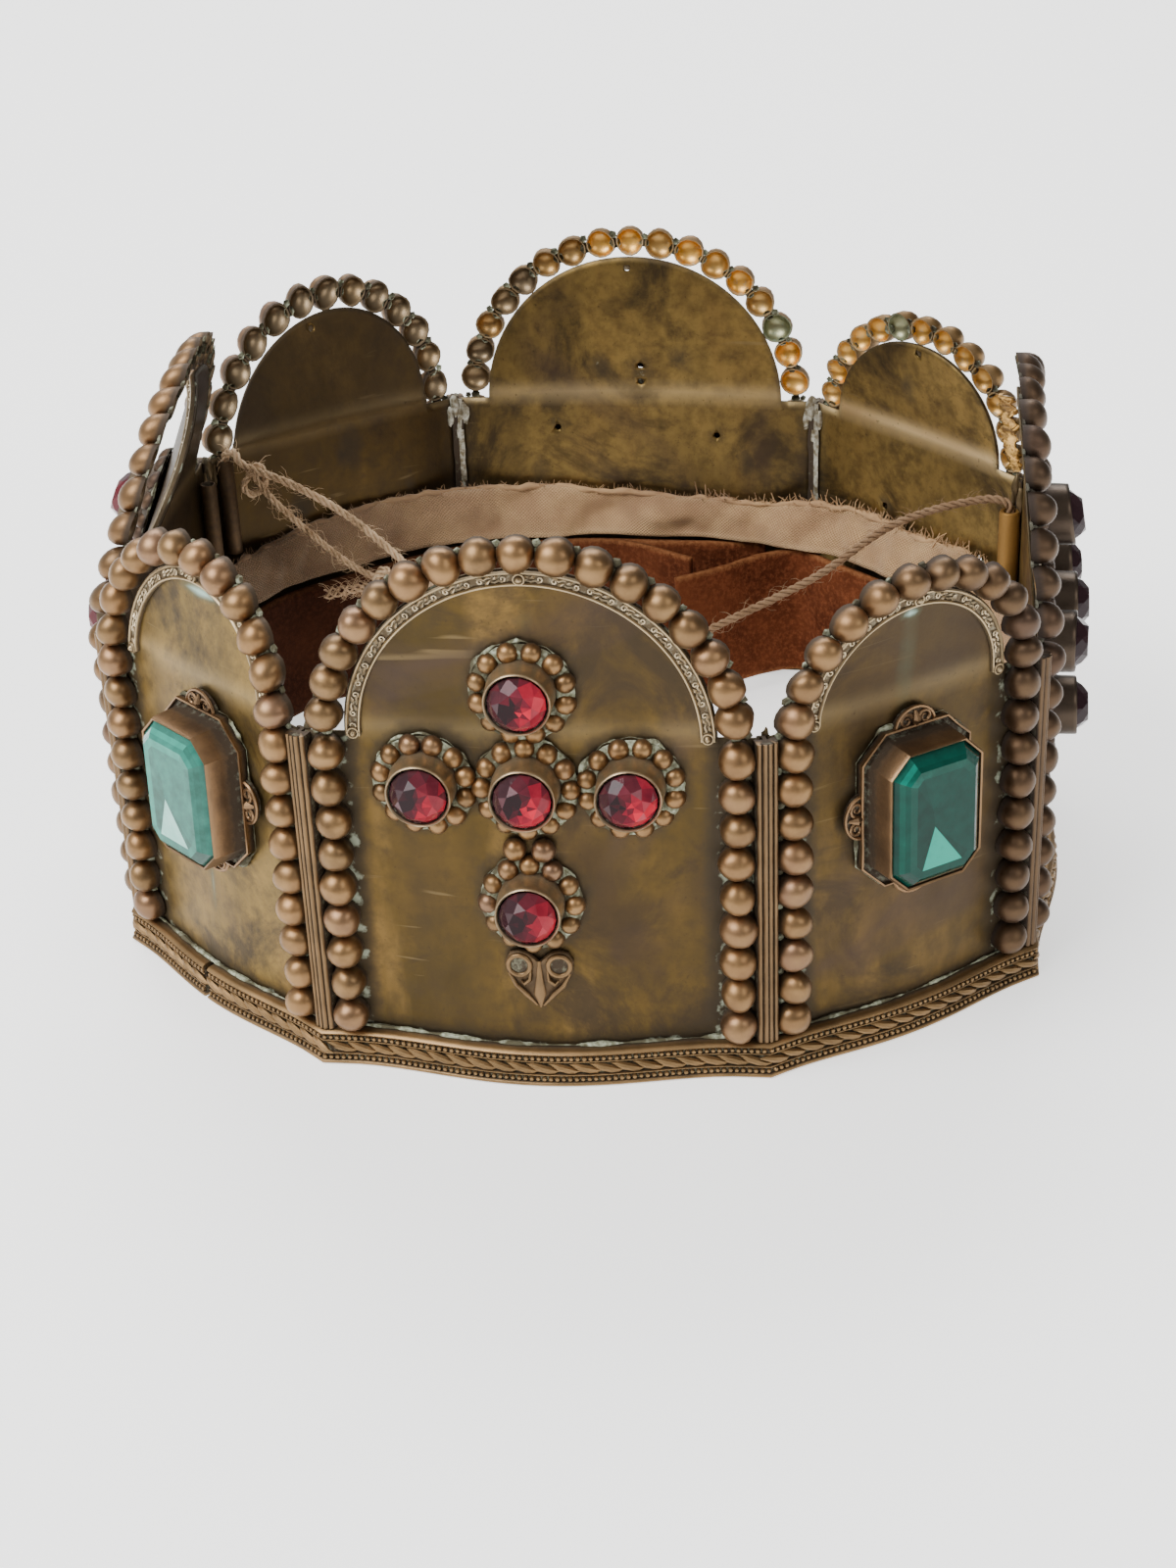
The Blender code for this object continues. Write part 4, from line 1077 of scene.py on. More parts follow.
# %% Solder
solder = Finish("solder", metallic=0.6, roughness=0.5)
grit = solder.noise(600, detail=4)
streaks = solder.noise(70, detail=4, place=solder.stretched((1, 1, 0.25)))
tone = solder.blend(grit.ramp(0.40, 0.62), (0.20, 0.165, 0.10), (0.56, 0.55, 0.46))
tone = solder.blend(streaks.ramp(0.44, 0.54), tone, (0.110, 0.075, 0.034))
solder.paint(colour=tone)
solder.bump(grit, 0.0003, 0.7)
crust = Finish("crust", roughness=0.9)
grit = crust.noise(900, detail=4)
shade = crust.noise(220, detail=3)
tone = crust.blend(grit.ramp(0.35, 0.65), (0.13, 0.13, 0.07), (0.42, 0.45, 0.33))
tone = crust.blend(shade.ramp(0.44, 0.56), tone, (0.075, 0.066, 0.035))
crust.bump(grit, 0.0003, 0.8)
# The crust takes the grime and painted shade of the beads and crosses it belongs to
tone = crust.blend(crust.attribute("grime"), tone, (0.045, 0.034, 0.027))
crust.paint(colour=tone)
print("finishes:", solder.material.name, crust.material.name)

# %% [markdown]
# The beads are hollow half balls, struck from foil-thin brass and soldered edge to edge. From
# behind, over the back arches, their gilt insides show. Each is a turned cup with an outside,
# a rolled lip and an inside. Between two beads sits a small drop of solder with a tooth of
# flange, and past it, daylight.

# %% Beads
BEAD_HEIGHT = 0.0067
BEAD_SIDES = 16
BEAD_WALL = 0.0004


def bead_pattern(bm):
    profile = []
    centre = BEAD_HEIGHT - BEAD_RADIUS
    for degrees in (0, 12, 28, 44, 60, 76):
        angle = math.radians(degrees)
        rise = centre + BEAD_RADIUS * math.sin(angle)
        profile.append((BEAD_RADIUS * math.cos(angle), rise, min(1.0, degrees / 50), 0.35 - degrees / 200))
    profile.append((0, BEAD_HEIGHT, 1.0, 0.0))
    foot = [(BEAD_RADIUS - BEAD_WALL, 0.0004, 0.0, 0.6, 1.0), (BEAD_RADIUS, 0.0003, 0.1, 1.0)]
    hollow = []
    radius = BEAD_RADIUS - BEAD_WALL
    for degrees in (60, 25):
        angle = math.radians(degrees)
        hollow.append((radius * math.cos(angle), 0.0006 + 0.0026 * math.sin(angle), 0.8, 0.2, 1.0))
    tip = [(0, 0.0033, 1.0, 0.0, 1.0)]
    spin_profile(bm, tip + hollow + foot + profile, BEAD_SIDES)


def tooth_pattern(bm):
    spin_profile(bm, ((0.0015, 0.0003, 0.0, 1.0), (0.0013, 0.0012, 0.2, 0.9), (0.0006, 0.0018, 0.4, 0.7),
                      (0, 0.0019, 0.5, 0.6)), 7)
    spin_profile(bm, ((0.0011, 0.0002, 0.2, 0.8), (0.0009, 0.0008, 0.4, 0.5), (0, 0.0010, 0.6, 0.4)),
                 5, across=0.0, height=0.0024)


def bead_finish():
    """The bead metal outside and the gilt metal inside, told apart by a painted number."""
    finish = Finish("bead_shell", metallic=0.95, roughness=0.30)
    kinds = ("inside", "tone", "dirt", "relief", "age", "grime")
    inside, tone, dirt, relief, age, shadow = (finish.attribute(kind) for kind in kinds)
    clouds = finish.noise(140, detail=4)
    crumbs = finish.noise(700, detail=4, roughness=0.7)
    dull = finish.noise(9, detail=1)
    warm = finish.blend(dull.ramp(0.38, 0.62), BRONZE, (0.205, 0.118, 0.054))
    colour = finish.blend((clouds + tone * 0.4 - 0.2).ramp(0.35, 0.75), warm, COPPER)
    colour = finish.blend(tone.ramp(0.80, 0.95) * 0.6, colour, (0.19, 0.115, 0.080))
    colour = finish.blend((relief * clouds * 1.6).ramp(0.62, 1.0) * 0.4, colour, (0.34, 0.215, 0.095))
    soil = (dirt * 1.2 + crumbs * 0.5 - 0.6).ramp(0.0, 0.5)
    colour = finish.blend(soil * 0.9, colour, CHOCOLATE)
    gilt = finish.blend((clouds + tone * 0.3).ramp(0.40, 0.85), (0.62, 0.30, 0.045), (0.88, 0.52, 0.14))
    gilt = finish.blend((crumbs + dirt * 0.4).ramp(0.62, 0.80) * 0.7, gilt, (0.55, 0.50, 0.36))
    gilt = finish.blend((age + tone * 0.6 - 0.3).ramp(0.1, 0.7), gilt, (0.200, 0.145, 0.085))
    gilt = finish.blend((tone - age * 0.08).ramp(0.93, 0.97) * 0.5, gilt, (0.10, 0.33, 0.28))
    colour = finish.blend(finish.attribute("gilt"), colour, (0.30, 0.175, 0.055))
    colour = finish.blend(inside, colour, gilt)
    colour = finish.blend(shadow, colour, (0.040, 0.028, 0.023))
    finish.paint(colour=colour, roughness=0.33 + clouds * 0.14 + soil * 0.3 + shadow * 0.10,
                 metallic=0.95 - soil * 0.3)
    finish.bump(clouds * 0.4 + crumbs * 0.3, 0.00016, 0.5)
    return finish.material


bead_shell = bead_finish()
bead = pattern_object("bead_pattern", bead_pattern, angle=50)
tooth = pattern_object("tooth_pattern", tooth_pattern)
print("bead finish:", bead_shell.name)

# %% [markdown]
# The beads stand along a line: up the left edge of a panel, over its arch and down its right
# edge. The repeating tree sets them, then noise dents them, because no old bead is round. The
# painted numbers say how much painted shade darkens each border and how much gilding it has
# kept.

# %% Bead borders
BEAD_LOWEST = 0.0138
BEAD_HIGHEST = ARCH_CENTRE - 0.0040
BEAD_PITCH = 0.0088
ARCH_BEAD_PITCH = 0.0084
ARCH_BEAD_SPAN = math.radians(82.5)
BEAD_DENT = 0.00052
BEAD_DENT_SIZE = 150.0
# How much painted shade darkens the beads at the left and the right of each panel
BEAD_SHADE = {"front": (0.0, 0.14), "front_right": (0.05, 0.78), "right": (0.74, 0.80),
         "back_right": (0.30, 0.10), "left": (0.10, 0.25)}
SHELL_GILT = {"back_right": 0.6, "back": 0.35}


def bead_centres(panel):
    """Places of the beads: up the left side, over the arch and down the right side."""
    rows = round((BEAD_HIGHEST - BEAD_LOWEST) / BEAD_PITCH)
    heights = [BEAD_LOWEST + (BEAD_HIGHEST - BEAD_LOWEST) * row / rows for row in range(rows + 1)]
    centres = [Vector((-panel.bead_arch, 0, height)) for height in heights]
    gaps = round(2 * ARCH_BEAD_SPAN * panel.bead_arch / ARCH_BEAD_PITCH)
    for gap in range(gaps + 1):
        angle = math.pi / 2 - ARCH_BEAD_SPAN * (2 * gap / gaps - 1)
        reach = Vector((math.cos(angle), 0, math.sin(angle))) * panel.bead_arch
        centres.append(Vector((0, 0, ARCH_CENTRE)) + reach)
    centres += [Vector((panel.bead_arch, 0, height)) for height in reversed(heights)]
    return centres


def bead_age(panel, across):
    """The gilding has gone from the beads of the back left, and from half of the back."""
    worn = {"back_left": 0.95, "left": 0.90, "back": 0.15 + 0.60 * min(1.0, max(0.0, across / 0.03))}
    return worn.get(panel.name, 0.05)


# noise_vector takes its offsets from the clock unless it has a seed
noise.seed_set(7)


def make_bead_border(panel, seed):
    centres = bead_centres(panel)
    chance = random.Random(seed)
    places = [(centre, (0, chance.uniform(0, 6.28), 0), 1.0) for centre in centres]
    beads = repeat(f"beads_{panel.name}", places, bead, bead_shell, 0.022, 0.055, seed)
    gaps = []
    for here, there in zip(centres, centres[1:]):
        way = there - here
        gaps.append(((here + there) / 2, (0, -math.atan2(way.z, way.x), 0), 1.0))
    teeth = repeat("teeth", gaps, tooth, crust.material, 0.15, 0.1, seed + 1)
    whole = join(f"beads_{panel.name}", [beads, teeth])
    for vertex in whole.data.vertices:
        vertex.co += BEAD_DENT * noise.noise_vector(vertex.co * BEAD_DENT_SIZE)
    old = whole.data.attributes.new("age", "FLOAT", "POINT")
    for entry_age, vertex in zip(old.data, whole.data.vertices):
        entry_age.value = bead_age(panel, vertex.co.x)
    panel.bend(whole)
    colour_all(whole, "grime", BEAD_SHADE.get(panel.name, 0.0), panel)
    colour_all(whole, "gilt", SHELL_GILT.get(panel.name, 0.0))
    return seat(whole, "bead_brass", f"bead_border_{panel.name}")


for number, panel in enumerate(PANELS):
    make_bead_border(panel, 40 + number)
print("beads:", [len(bead_centres(panel)) for panel in PANELS])

# %% [markdown]
# At a corner two panels meet at an angle. The posts, the foot strip and the solder all need
# places near that joint, so a corner knows its two panels and the line between them.

# %% Corners
class Corner:
    """The joint of two neighbouring panels, seen in plan."""

    def __init__(self, name, before, after):
        self.name, self.before, self.after = name, before, after
        self.point = corner_point(name)
        self.bisector = (before.outward + after.outward) / (1 + before.outward.dot(after.outward))

    def leg(self, outward, along):
        way = self.after.along if along > 0 else self.before.along
        return self.point + self.bisector * outward + way * along


CORNER_LIST = [Corner(after.left, before, after)
               for before, after in zip([PANELS[-1]] + PANELS[:-1], PANELS)]
print("corners:", [corner.name for corner in CORNER_LIST])

# %% [markdown]
# The corner posts are fluted strips, folded over each joint and run full of solder inside.
# Two of the back corners carry short tubes for something that is long gone.

# %% Corner posts
RIM_HEIGHT = 0.0092
POST_HALF_WIDTH = 0.0027
POST_DEPTH = 0.0021
POST_RIB = 0.0008
POST_RIBS = 4
POST_STEPS = 40
POST_ROWS = 24
POST_WEB_HALF = 0.0005
SEAM_DEPTH = 0.0008
SEAM_LEG = 0.0019
TUBE_RADIUS = 0.0023
TUBE_BORE = 0.0034
TUBE_FOOT = 0.0600
TUBE_SIDES = 20
# How much each post is darkened by grime and, towards the right side of the crown, by painted shade
POST_GRIME_AND_SHADE = {"front_left": 0.05, "front_right": 0.22, "right_front": 0.60, "right_back": 0.25}
# Rows of: place across the joint and radius, both in tube radii, and top as a share of SHOULDER
TUBES = {
    "left_back": ((-1.826, 1.0, 1.0), (3.043, 1.0, 0.960)),
    "right_back": ((0.0, 1.261, 0.904),),
}


def post_outline(corner, level):
    """One level of a post: its flutes outside, and the lumpy solder seam inside."""
    half = POST_HALF_WIDTH
    outline = []
    for step in range(POST_STEPS + 1):
        share = step / POST_STEPS
        wave = math.sqrt(abs(math.sin(POST_RIBS * math.pi * share)))
        outline.append((corner.leg(CLEARANCE + POST_DEPTH + POST_RIB * wave, half * (2 * share - 1)),
                        (wave, 1 - wave)))
    back = -(SHEET + CLEARANCE)
    seed = Vector((3.1 * len(corner.name), 9.7 * corner.point.x * 100, 0))
    lump = 1 + 0.35 * noise.noise(seed + Vector((0, 0, level * 260)))
    reach = SEAM_LEG * lump
    deep = back - SEAM_DEPTH * lump
    for outward, along in ((CLEARANCE, half), (CLEARANCE, POST_WEB_HALF), (back, POST_WEB_HALF),
                           (back, reach), ((back + deep) / 2, reach * 0.92), (deep, reach * 0.55),
                           (deep, 0.0), (deep, -reach * 0.55), ((back + deep) / 2, -reach * 0.92),
                           (back, -reach), (back, -POST_WEB_HALF), (CLEARANCE, -POST_WEB_HALF),
                           (CLEARANCE, -half)):
        outline.append((corner.leg(outward, along), (0.3, 0.8)))
    return outline


def add_tube(bm, corner, along, radius, top_share):
    """A short bored tube that stands behind the seam."""
    wear = [layer(bm, label) for label in ("relief", "dirt", "gilt")]
    outer = radius * TUBE_RADIUS
    plan = corner.leg(-(SHEET + CLEARANCE) - outer, along * TUBE_RADIUS)
    crown = top_share * SHOULDER
    bore = TUBE_BORE / 2
    gilt = 0.6 if corner.name == "right_back" else 0.0
    made = []
    for size, level in ((bore, TUBE_FOOT), (outer, TUBE_FOOT), (outer, crown - 0.0006),
                        (outer - 0.0003, crown), (bore + 0.0002, crown), (bore, crown - 0.0004)):
        ring = []
        for step in range(TUBE_SIDES):
            angle = 2 * math.pi * step / TUBE_SIDES
            place = (plan.x + size * math.cos(angle), plan.y + size * math.sin(angle), level)
            ring.append(bm.verts.new(place))
            for kind, amount in zip(wear, (0.3, 0.9 if size == bore else 0.45, gilt)):
                ring[-1][kind] = amount
        made.append(ring)
    for first, second in zip(made, made[1:] + made[:1]):
        for step in range(TUBE_SIDES):
            after = (step + 1) % TUBE_SIDES
            bm.faces.new((first[step], first[after], second[after], second[step]))


def make_post(corner):
    bm = bmesh.new()
    foot, top = RIM_HEIGHT + CLEARANCE, SHOULDER
    rings = []
    for row in range(POST_ROWS + 1):
        level = foot + (top - foot) * row / POST_ROWS
        outline = post_outline(corner, level)
        rings.append([(plan.x, plan.y, level) for plan, _ in outline])
    sweep(bm, rings, [value for _, value in outline])
    for face in bm.faces:
        off = face.calc_center_median().xy - corner.point
        side = abs(off.dot(corner.after.along))
        if off.dot(corner.bisector) < -SHEET and side < 0.0005 and off.length < 0.0040:
            face.material_index = 1
    layer(bm, "gilt")
    for tube in TUBES.get(corner.name, ()):
        add_tube(bm, corner, *tube)
    post = solid_object(f"flutes_{corner.name}", bm, post_brass, smooth_angle=50)
    colour_all(post, "grime", POST_GRIME_AND_SHADE.get(corner.name, 0.15))
    post.data.materials.append(solder.material)
    return seat(post, "strip_brass", f"post_{corner.name}")


posts = [make_post(corner) for corner in CORNER_LIST]
print("posts:", [post.name for post in posts])

# %% [markdown]
# The foot strip is bought trim, rolled from a die by the metre: a ridge, a row of tiny beads, a
# rope, another row of beads and a bottom ridge. It is one section swept along the foot of all
# eight sheets, cut open where its ends meet on the front left side. The beads and the strands
# of the rope repeat along it, so they are placed by walking the foot in even steps.

# %% Walking round the foot
STRIP_COLUMNS = 22
STRIP_MARGIN = 0.0030
JOINT_SHARE = -0.05
JOINT_GAP = 0.0018


def foot_stations():
    """Stations from one side of the joint round to its other side: a corner, or a panel and a place."""
    last = PANELS[-1]
    joint = JOINT_SHARE * last.width
    stations = []
    for panel, corner in zip([last] + PANELS, [None] + CORNER_LIST):
        if corner:
            stations.append((corner, None))
        end = panel.width / 2 - STRIP_MARGIN
        columns = [-end + 2 * end * step / STRIP_COLUMNS for step in range(STRIP_COLUMNS + 1)]
        if corner is None:
            columns = [joint + JOINT_GAP / 2] + [across for across in columns if across > joint + 0.001]
        elif panel is last:
            columns = [across for across in columns if across < joint - 0.001] + [joint - JOINT_GAP / 2]
        stations += [(panel, across) for across in columns]
    return stations


STATIONS = foot_stations()


def foot_point(station, out, height):
    where, across = station
    if across is None:
        plan = where.leg(out, 0)
        return Vector((plan.x, plan.y, height))
    return where.place(across, height, out)


def walk_foot(out, height, pitch, start=0.0):
    """Even steps along the foot: each is a point and the direction of the strip there."""
    line = [foot_point(station, out, height) for station in STATIONS]
    total = line_length(line)
    count = int(total / pitch)
    step = total / count
    steps, walked, goal = [], 0.0, step * (0.5 + start)
    for here, there in zip(line, line[1:]):
        length = (there - here).length
        while goal <= walked + length and len(steps) < count:
            way = (there - here) / length
            steps.append((here + way * (goal - walked), math.atan2(way.y, way.x)))
            goal += step
        walked += length
    return steps


print("stations:", len(STATIONS), "steps of the fine beads:", len(walk_foot(0.004, 0.007, 0.00130)))

# %% [markdown]
# The section of the strip is read off the photo where the corner shows it from the side.

# %% The foot strip
# Rows of: how far out, how high, relief, dirt
STRIP_SECTION = (
    (0.0003, 0.0000, 0.0, 0.6), (0.0037, 0.0000, 0.3, 0.5), (0.0043, 0.0004, 1.0, 0.1),
    (0.0044, 0.0008, 1.0, 0.0), (0.0041, 0.0011, 0.6, 0.4), (0.0032, 0.0013, 0.0, 1.0),
    (0.0032, 0.0025, 0.0, 1.0), (0.0036, 0.0027, 0.8, 0.3), (0.0036, 0.0029, 0.8, 0.3),
    (0.0028, 0.0032, 0.0, 1.0), (0.0027, 0.0047, 0.0, 1.0), (0.0028, 0.0061, 0.0, 1.0),
    (0.0035, 0.0063, 0.8, 0.3), (0.0035, 0.0065, 0.8, 0.3), (0.0029, 0.0067, 0.0, 1.0),
    (0.0029, 0.0079, 0.0, 1.0), (0.0036, 0.0081, 0.7, 0.3), (0.0038, 0.0085, 1.0, 0.0),
    (0.0034, 0.0089, 1.0, 0.0), (0.0026, 0.0092, 0.8, 0.2), (0.0003, 0.0092, 0.2, 0.9),
)
FINE_BEAD_RADIUS = 0.00060
FINE_BEAD_PITCH = 0.00152
STRAND_PITCH = 0.0050


def fine_bead_pattern(bm):
    radius = FINE_BEAD_RADIUS
    spin_profile(bm, ((radius, -0.0001, 0.3, 0.7), (radius, 0.0004, 0.6, 0.4),
                      (radius * 0.75, 0.0008, 0.9, 0.0), (0, 0.00098, 1.0, 0.0)), 7)


def strand_pattern(bm):
    path = [(-0.0040, 0.0001, 0.00095), (-0.0027, -0.0004, 0.00090), (-0.0011, -0.0006, 0.00035),
            (0.0010, -0.0006, -0.00030), (0.0026, -0.0004, -0.00085), (0.0040, 0.0001, -0.00095)]
    wire(bm, path, [0.00012, 0.00060, 0.00095, 0.00095, 0.00060, 0.00012], sides=8, relief=1.0, dirt=0.0)


fine_bead = pattern_object("fine_bead_pattern", fine_bead_pattern)
strand = pattern_object("strand_pattern", strand_pattern)

bm = bmesh.new()
rings = [[foot_point(station, out, height) for out, height, _, _ in STRIP_SECTION] for station in STATIONS]
sweep(bm, rings, [row[2:] for row in STRIP_SECTION])
strip = solid_object("foot_strip_section", bm, strip_brass, smooth_angle=60)
trim = [strip]
for seed, (out, height) in enumerate(((0.0032, 0.0019), (0.0029, 0.0073))):
    steps = walk_foot(out, height, FINE_BEAD_PITCH)
    places = [(point, (0, 0, turn), 1.0) for point, turn in steps]
    trim.append(repeat("fine_beads", places, fine_bead, strip_brass, 0.10, 0.05, 70 + seed))
places = [(point, (0, 0, turn), 1.0) for point, turn in walk_foot(0.0029, 0.0047, STRAND_PITCH)]
trim.append(repeat("strands", places, strand, strip_brass, 0.04, 0.03, 75))
foot_strip = seat(join("foot_trim", trim), "strip_brass", "foot_strip")
print("foot strip triangles:", sum(len(face.vertices) - 2 for face in foot_strip.data.polygons))

# %% [markdown]
# The cross on each wide side is five cups on scalloped plates. Every cup has a ring of twelve
# small balls round it, two larger balls bridge the long arm, and a leaf with two eyelets ends
# it below. The cups are turned from a profile and so are the plates. The balls repeat.

# %% Parts of a cross
PLATE_RADIUS = 0.0112
BALL_RADIUS = 0.0025
# Rows of: radius, rise, relief, dirt
CUP_SECTION = (
    (0.0084, 0.0008, 0.2, 1.0), (0.0081, 0.0012, 0.5, 0.8), (0.0079, 0.0020, 0.6, 0.6),
    (0.00770, 0.0050, 0.5, 0.3), (0.00765, 0.0082, 0.7, 0.2), (0.00760, 0.0090, 1.0, 0.1),
    (0.00735, 0.00925, 1.0, 0.0), (0.00705, 0.00905, 0.9, 0.3), (0.00685, 0.0082, 0.2, 1.0),
    (0.00685, 0.0050, 0.0, 1.0),
)
PLATE_SECTION = (
    (0.0060, 0.0004, 0.0, 1.0), (PLATE_RADIUS, 0.0004, 0.1, 0.9), (PLATE_RADIUS + 0.0001, 0.0008, 0.6, 0.6),
    (PLATE_RADIUS - 0.0004, 0.0012, 0.8, 0.6), (0.0090, 0.0013, 0.2, 1.0), (0.0060, 0.0013, 0.0, 1.0),
)


def ball_pattern(bm):
    rows = [(BALL_RADIUS * 0.98, 0.0008, 0.1, 1.0)]
    for degrees in (0, 25, 50, 72):
        angle = math.radians(degrees)
        rows.append((BALL_RADIUS * math.cos(angle), 0.0013 + BALL_RADIUS * math.sin(angle) * 0.95,
                     min(1.0, degrees / 45), 0.5 - degrees / 120))
    rows.append((0, 0.0013 + BALL_RADIUS * 0.95, 1.0, 0.0))
    spin_profile(bm, rows, 12)


def leaf_shape(bm, across, top):
    """The leaf under the cross: a plate with two eyelets, side ribs and a ridged tongue."""
    def put(way, rows):
        """Rows of: how far aside, how far out, how far down."""
        return [(across + way * aside, -rise, top - down) for aside, rise, down in rows]

    outline = ((0.0, 0.20), (0.14, 0.12), (0.34, 0.03), (0.60, 0.00), (0.86, 0.05), (1.0, 0.20),
               (0.98, 0.36), (0.86, 0.50), (0.68, 0.62), (0.46, 0.76), (0.22, 0.90), (0.0, 1.0))
    right = [(across + share * 0.0080, top - down * 0.0152) for share, down in outline]
    left = [(2 * across - side, level) for side, level in reversed(right[1:-1])]
    rings = []
    for rise, share in ((0.0004, 1.0), (0.0011, 1.0), (0.0015, 0.93)):
        middle = top - 0.007
        rings.append([(across + (side - across) * share, -rise, middle + (level - middle) * share)
                      for side, level in right + left])
    sweep(bm, rings, [(0.7, 0.45)] * len(rings[0]))
    for way in (-1, 1):
        eye_across, eye_height = across + way * 0.0047, top - 0.0036
        circle = [turned(eye_across, eye_height, 0.0026, step * math.pi / 10, 0.0017) for step in range(20)]
        wire(bm, circle, 0.00062, sides=8, relief=1.0, dirt=0.05, closed=True)
        floor_rows = ((0.0024, 0.0013, 0.0, 1.0), (0.0022, 0.0017, 0.0, 1.0), (0, 0.0018, 0.0, 1.0))
        spin_profile(bm, floor_rows, 16, eye_across, eye_height)
        edge = ((0.0072, 0.0015, 0.0058), (0.0056, 0.0018, 0.0088), (0.0032, 0.0018, 0.0112),
                (0.0008, 0.0016, 0.0142))
        wire(bm, put(way, edge), [0.0003, 0.0006, 0.0007, 0.0003], sides=6, relief=1.0, dirt=0.1)
        curl = ((0.0019, 0.0016, 0.0046), (0.0022, 0.0019, 0.0072), (0.0036, 0.0019, 0.0084),
                (0.0044, 0.0017, 0.0076))
        wire(bm, put(way, curl), [0.0003, 0.0006, 0.0006, 0.0003], sides=6, relief=1.0, dirt=0.2)
    tongue = ((0, 0.0014, 0.0026), (0, 0.0019, 0.0066), (0, 0.0020, 0.0108), (0, 0.0014, 0.0148))
    wire(bm, put(1, tongue), [0.0004, 0.0008, 0.0015, 0.0003], sides=8, relief=1.0, dirt=0.2, flat=0.6)


ball = pattern_object("ball_pattern", ball_pattern, angle=50)
print("ball faces:", len(ball.data.polygons))

# %% [markdown]
# Pale crust has grown between the cups and their balls. A whole cross is darkened with painted
# shade by its side of the crown: most on the right and the left, and not at all on the front.

# %% Crosses
cup_brass = stamped_finish("cup_brass", (0.46, 0.35, 0.21), (0.30, 0.215, 0.125), CHOCOLATE, crust=0.9)
RING_RADIUS = 0.0101
RING_BALLS = 12
RING_DROP = 0.0008
LINK_BALL_RADIUS = 0.0028
LINK_DROP = 0.0013
# The rings that carry a ball exactly at their top. The others have one on each side of it
BALL_AT_TOP = ("centre", "bottom")
# How much painted shade darkens the cross on each side of the crown
CROSS_SHADE = {"front": 0.0, "right": 0.92, "back": 0.25, "left": 0.80}


def crust_ring(bm, across, height, seed):
    """Pale crust that fills the gaps between the balls and their cup."""
    rings = []
    for step in range(72):
        angle = 2 * math.pi * step / 72
        way = Vector((math.cos(angle), math.sin(angle), 0))
        lift = 0.0010 * (1 + 1.3 * noise.noise(way * 4.5 + Vector((0, 0, seed * 7.1))))
        ring = []
        for radius, share in ((0.0074, 0.0), (0.0082, 1.0), (0.0104, 1.0), (0.0116, 0.35), (0.0119, 0.0)):
            grown = radius * (1 + 0.02 * noise.noise(way * 9 + Vector((0, 0, seed * 3.3))))
            ring.append((across + grown * way.x, -(0.0009 + lift * share), height + grown * way.y))
        rings.append(ring)
    sweep(bm, rings, [(0.5, 0.5)] * 5, closed=True)


def make_cross(panel, seed):
    bm = bmesh.new()
    crumbs = bmesh.new()
    places = []
    for number, (label, (across, height)) in enumerate(CROSS_PLACES.items()):
        level = height - RING_DROP
        spin_profile(bm, PLATE_SECTION, 48, across, level, scallop=0.022)
        spin_profile(bm, CUP_SECTION, 40, across, height)
        crust_ring(crumbs, across, level, number + seed)
        start = 0.0 if label in BALL_AT_TOP else 0.5
        for index in range(RING_BALLS):
            angle = 2 * math.pi * (index + start) / RING_BALLS
            places.append((turned(across, level, RING_RADIUS, angle), (0, index * 1.7, 0), 1.0))
    middle = (CROSS_PLACES["centre"][1] + CROSS_PLACES["bottom"][1]) / 2 - LINK_DROP
    for way in (-1, 1):
        places.append(((CROSS_SHIFT + way * 0.0033, 0, middle), (0, 0, 0), LINK_BALL_RADIUS / BALL_RADIUS))
    leaf = bmesh.new()
    leaf_shape(leaf, CROSS_SHIFT + 0.0011, CROSS_PLACES["bottom"][1] - 0.0132)
    cups = solid_object("cups", bm, cup_brass, smooth_angle=50)
    leaves = solid_object("leaves", leaf, post_brass, smooth_angle=60)
    grit = solid_object("grit", crumbs, crust.material, smooth_angle=60)
    balls = repeat("balls", places, ball, bead_shell, 0.05, 0.06, seed)
    cross = join(f"cross_{panel.name}", [cups, balls, leaves, grit])
    panel.bend(cross)
    colour_all(cross, "grime", CROSS_SHADE.get(panel.name, 0.0))
    return seat(cross, "bead_brass", f"cross_mount_{panel.name}")


WIDE = [panel for panel in PANELS if panel.form == "wide"]
crosses = [make_cross(panel, 100 + number) for number, panel in enumerate(WIDE)]
print("crosses:", [cross.name for cross in crosses])

# %% [markdown]
# The red stones are moulded glass in the brilliant cut: an eight-sided table, star and kite
# facets, and sixteen small ones along the girdle. What one sees in such a stone is its back
# facets, through the table, some lit by the foil and some black. Each facet carries a painted
# tone of light and shade, brighter on one side of the stone, and some a painted reflection.

# %% Red stones
RED_RADIUS = 0.0066
RED_TABLE = 0.0039
RED_GIRDLE = 0.0087
RED_TOP = 0.0121


def facet(bm, corners, tone, haze=0.0):
    face = bm.faces.new(corners)
    face[bm.faces.layers.float["tone"]] = tone
    face[bm.faces.layers.float["haze"]] = haze
    return face


def start_glass():
    bm = bmesh.new()
    for label in ("tone", "haze"):
        bm.faces.layers.float.new(label)
    return bm


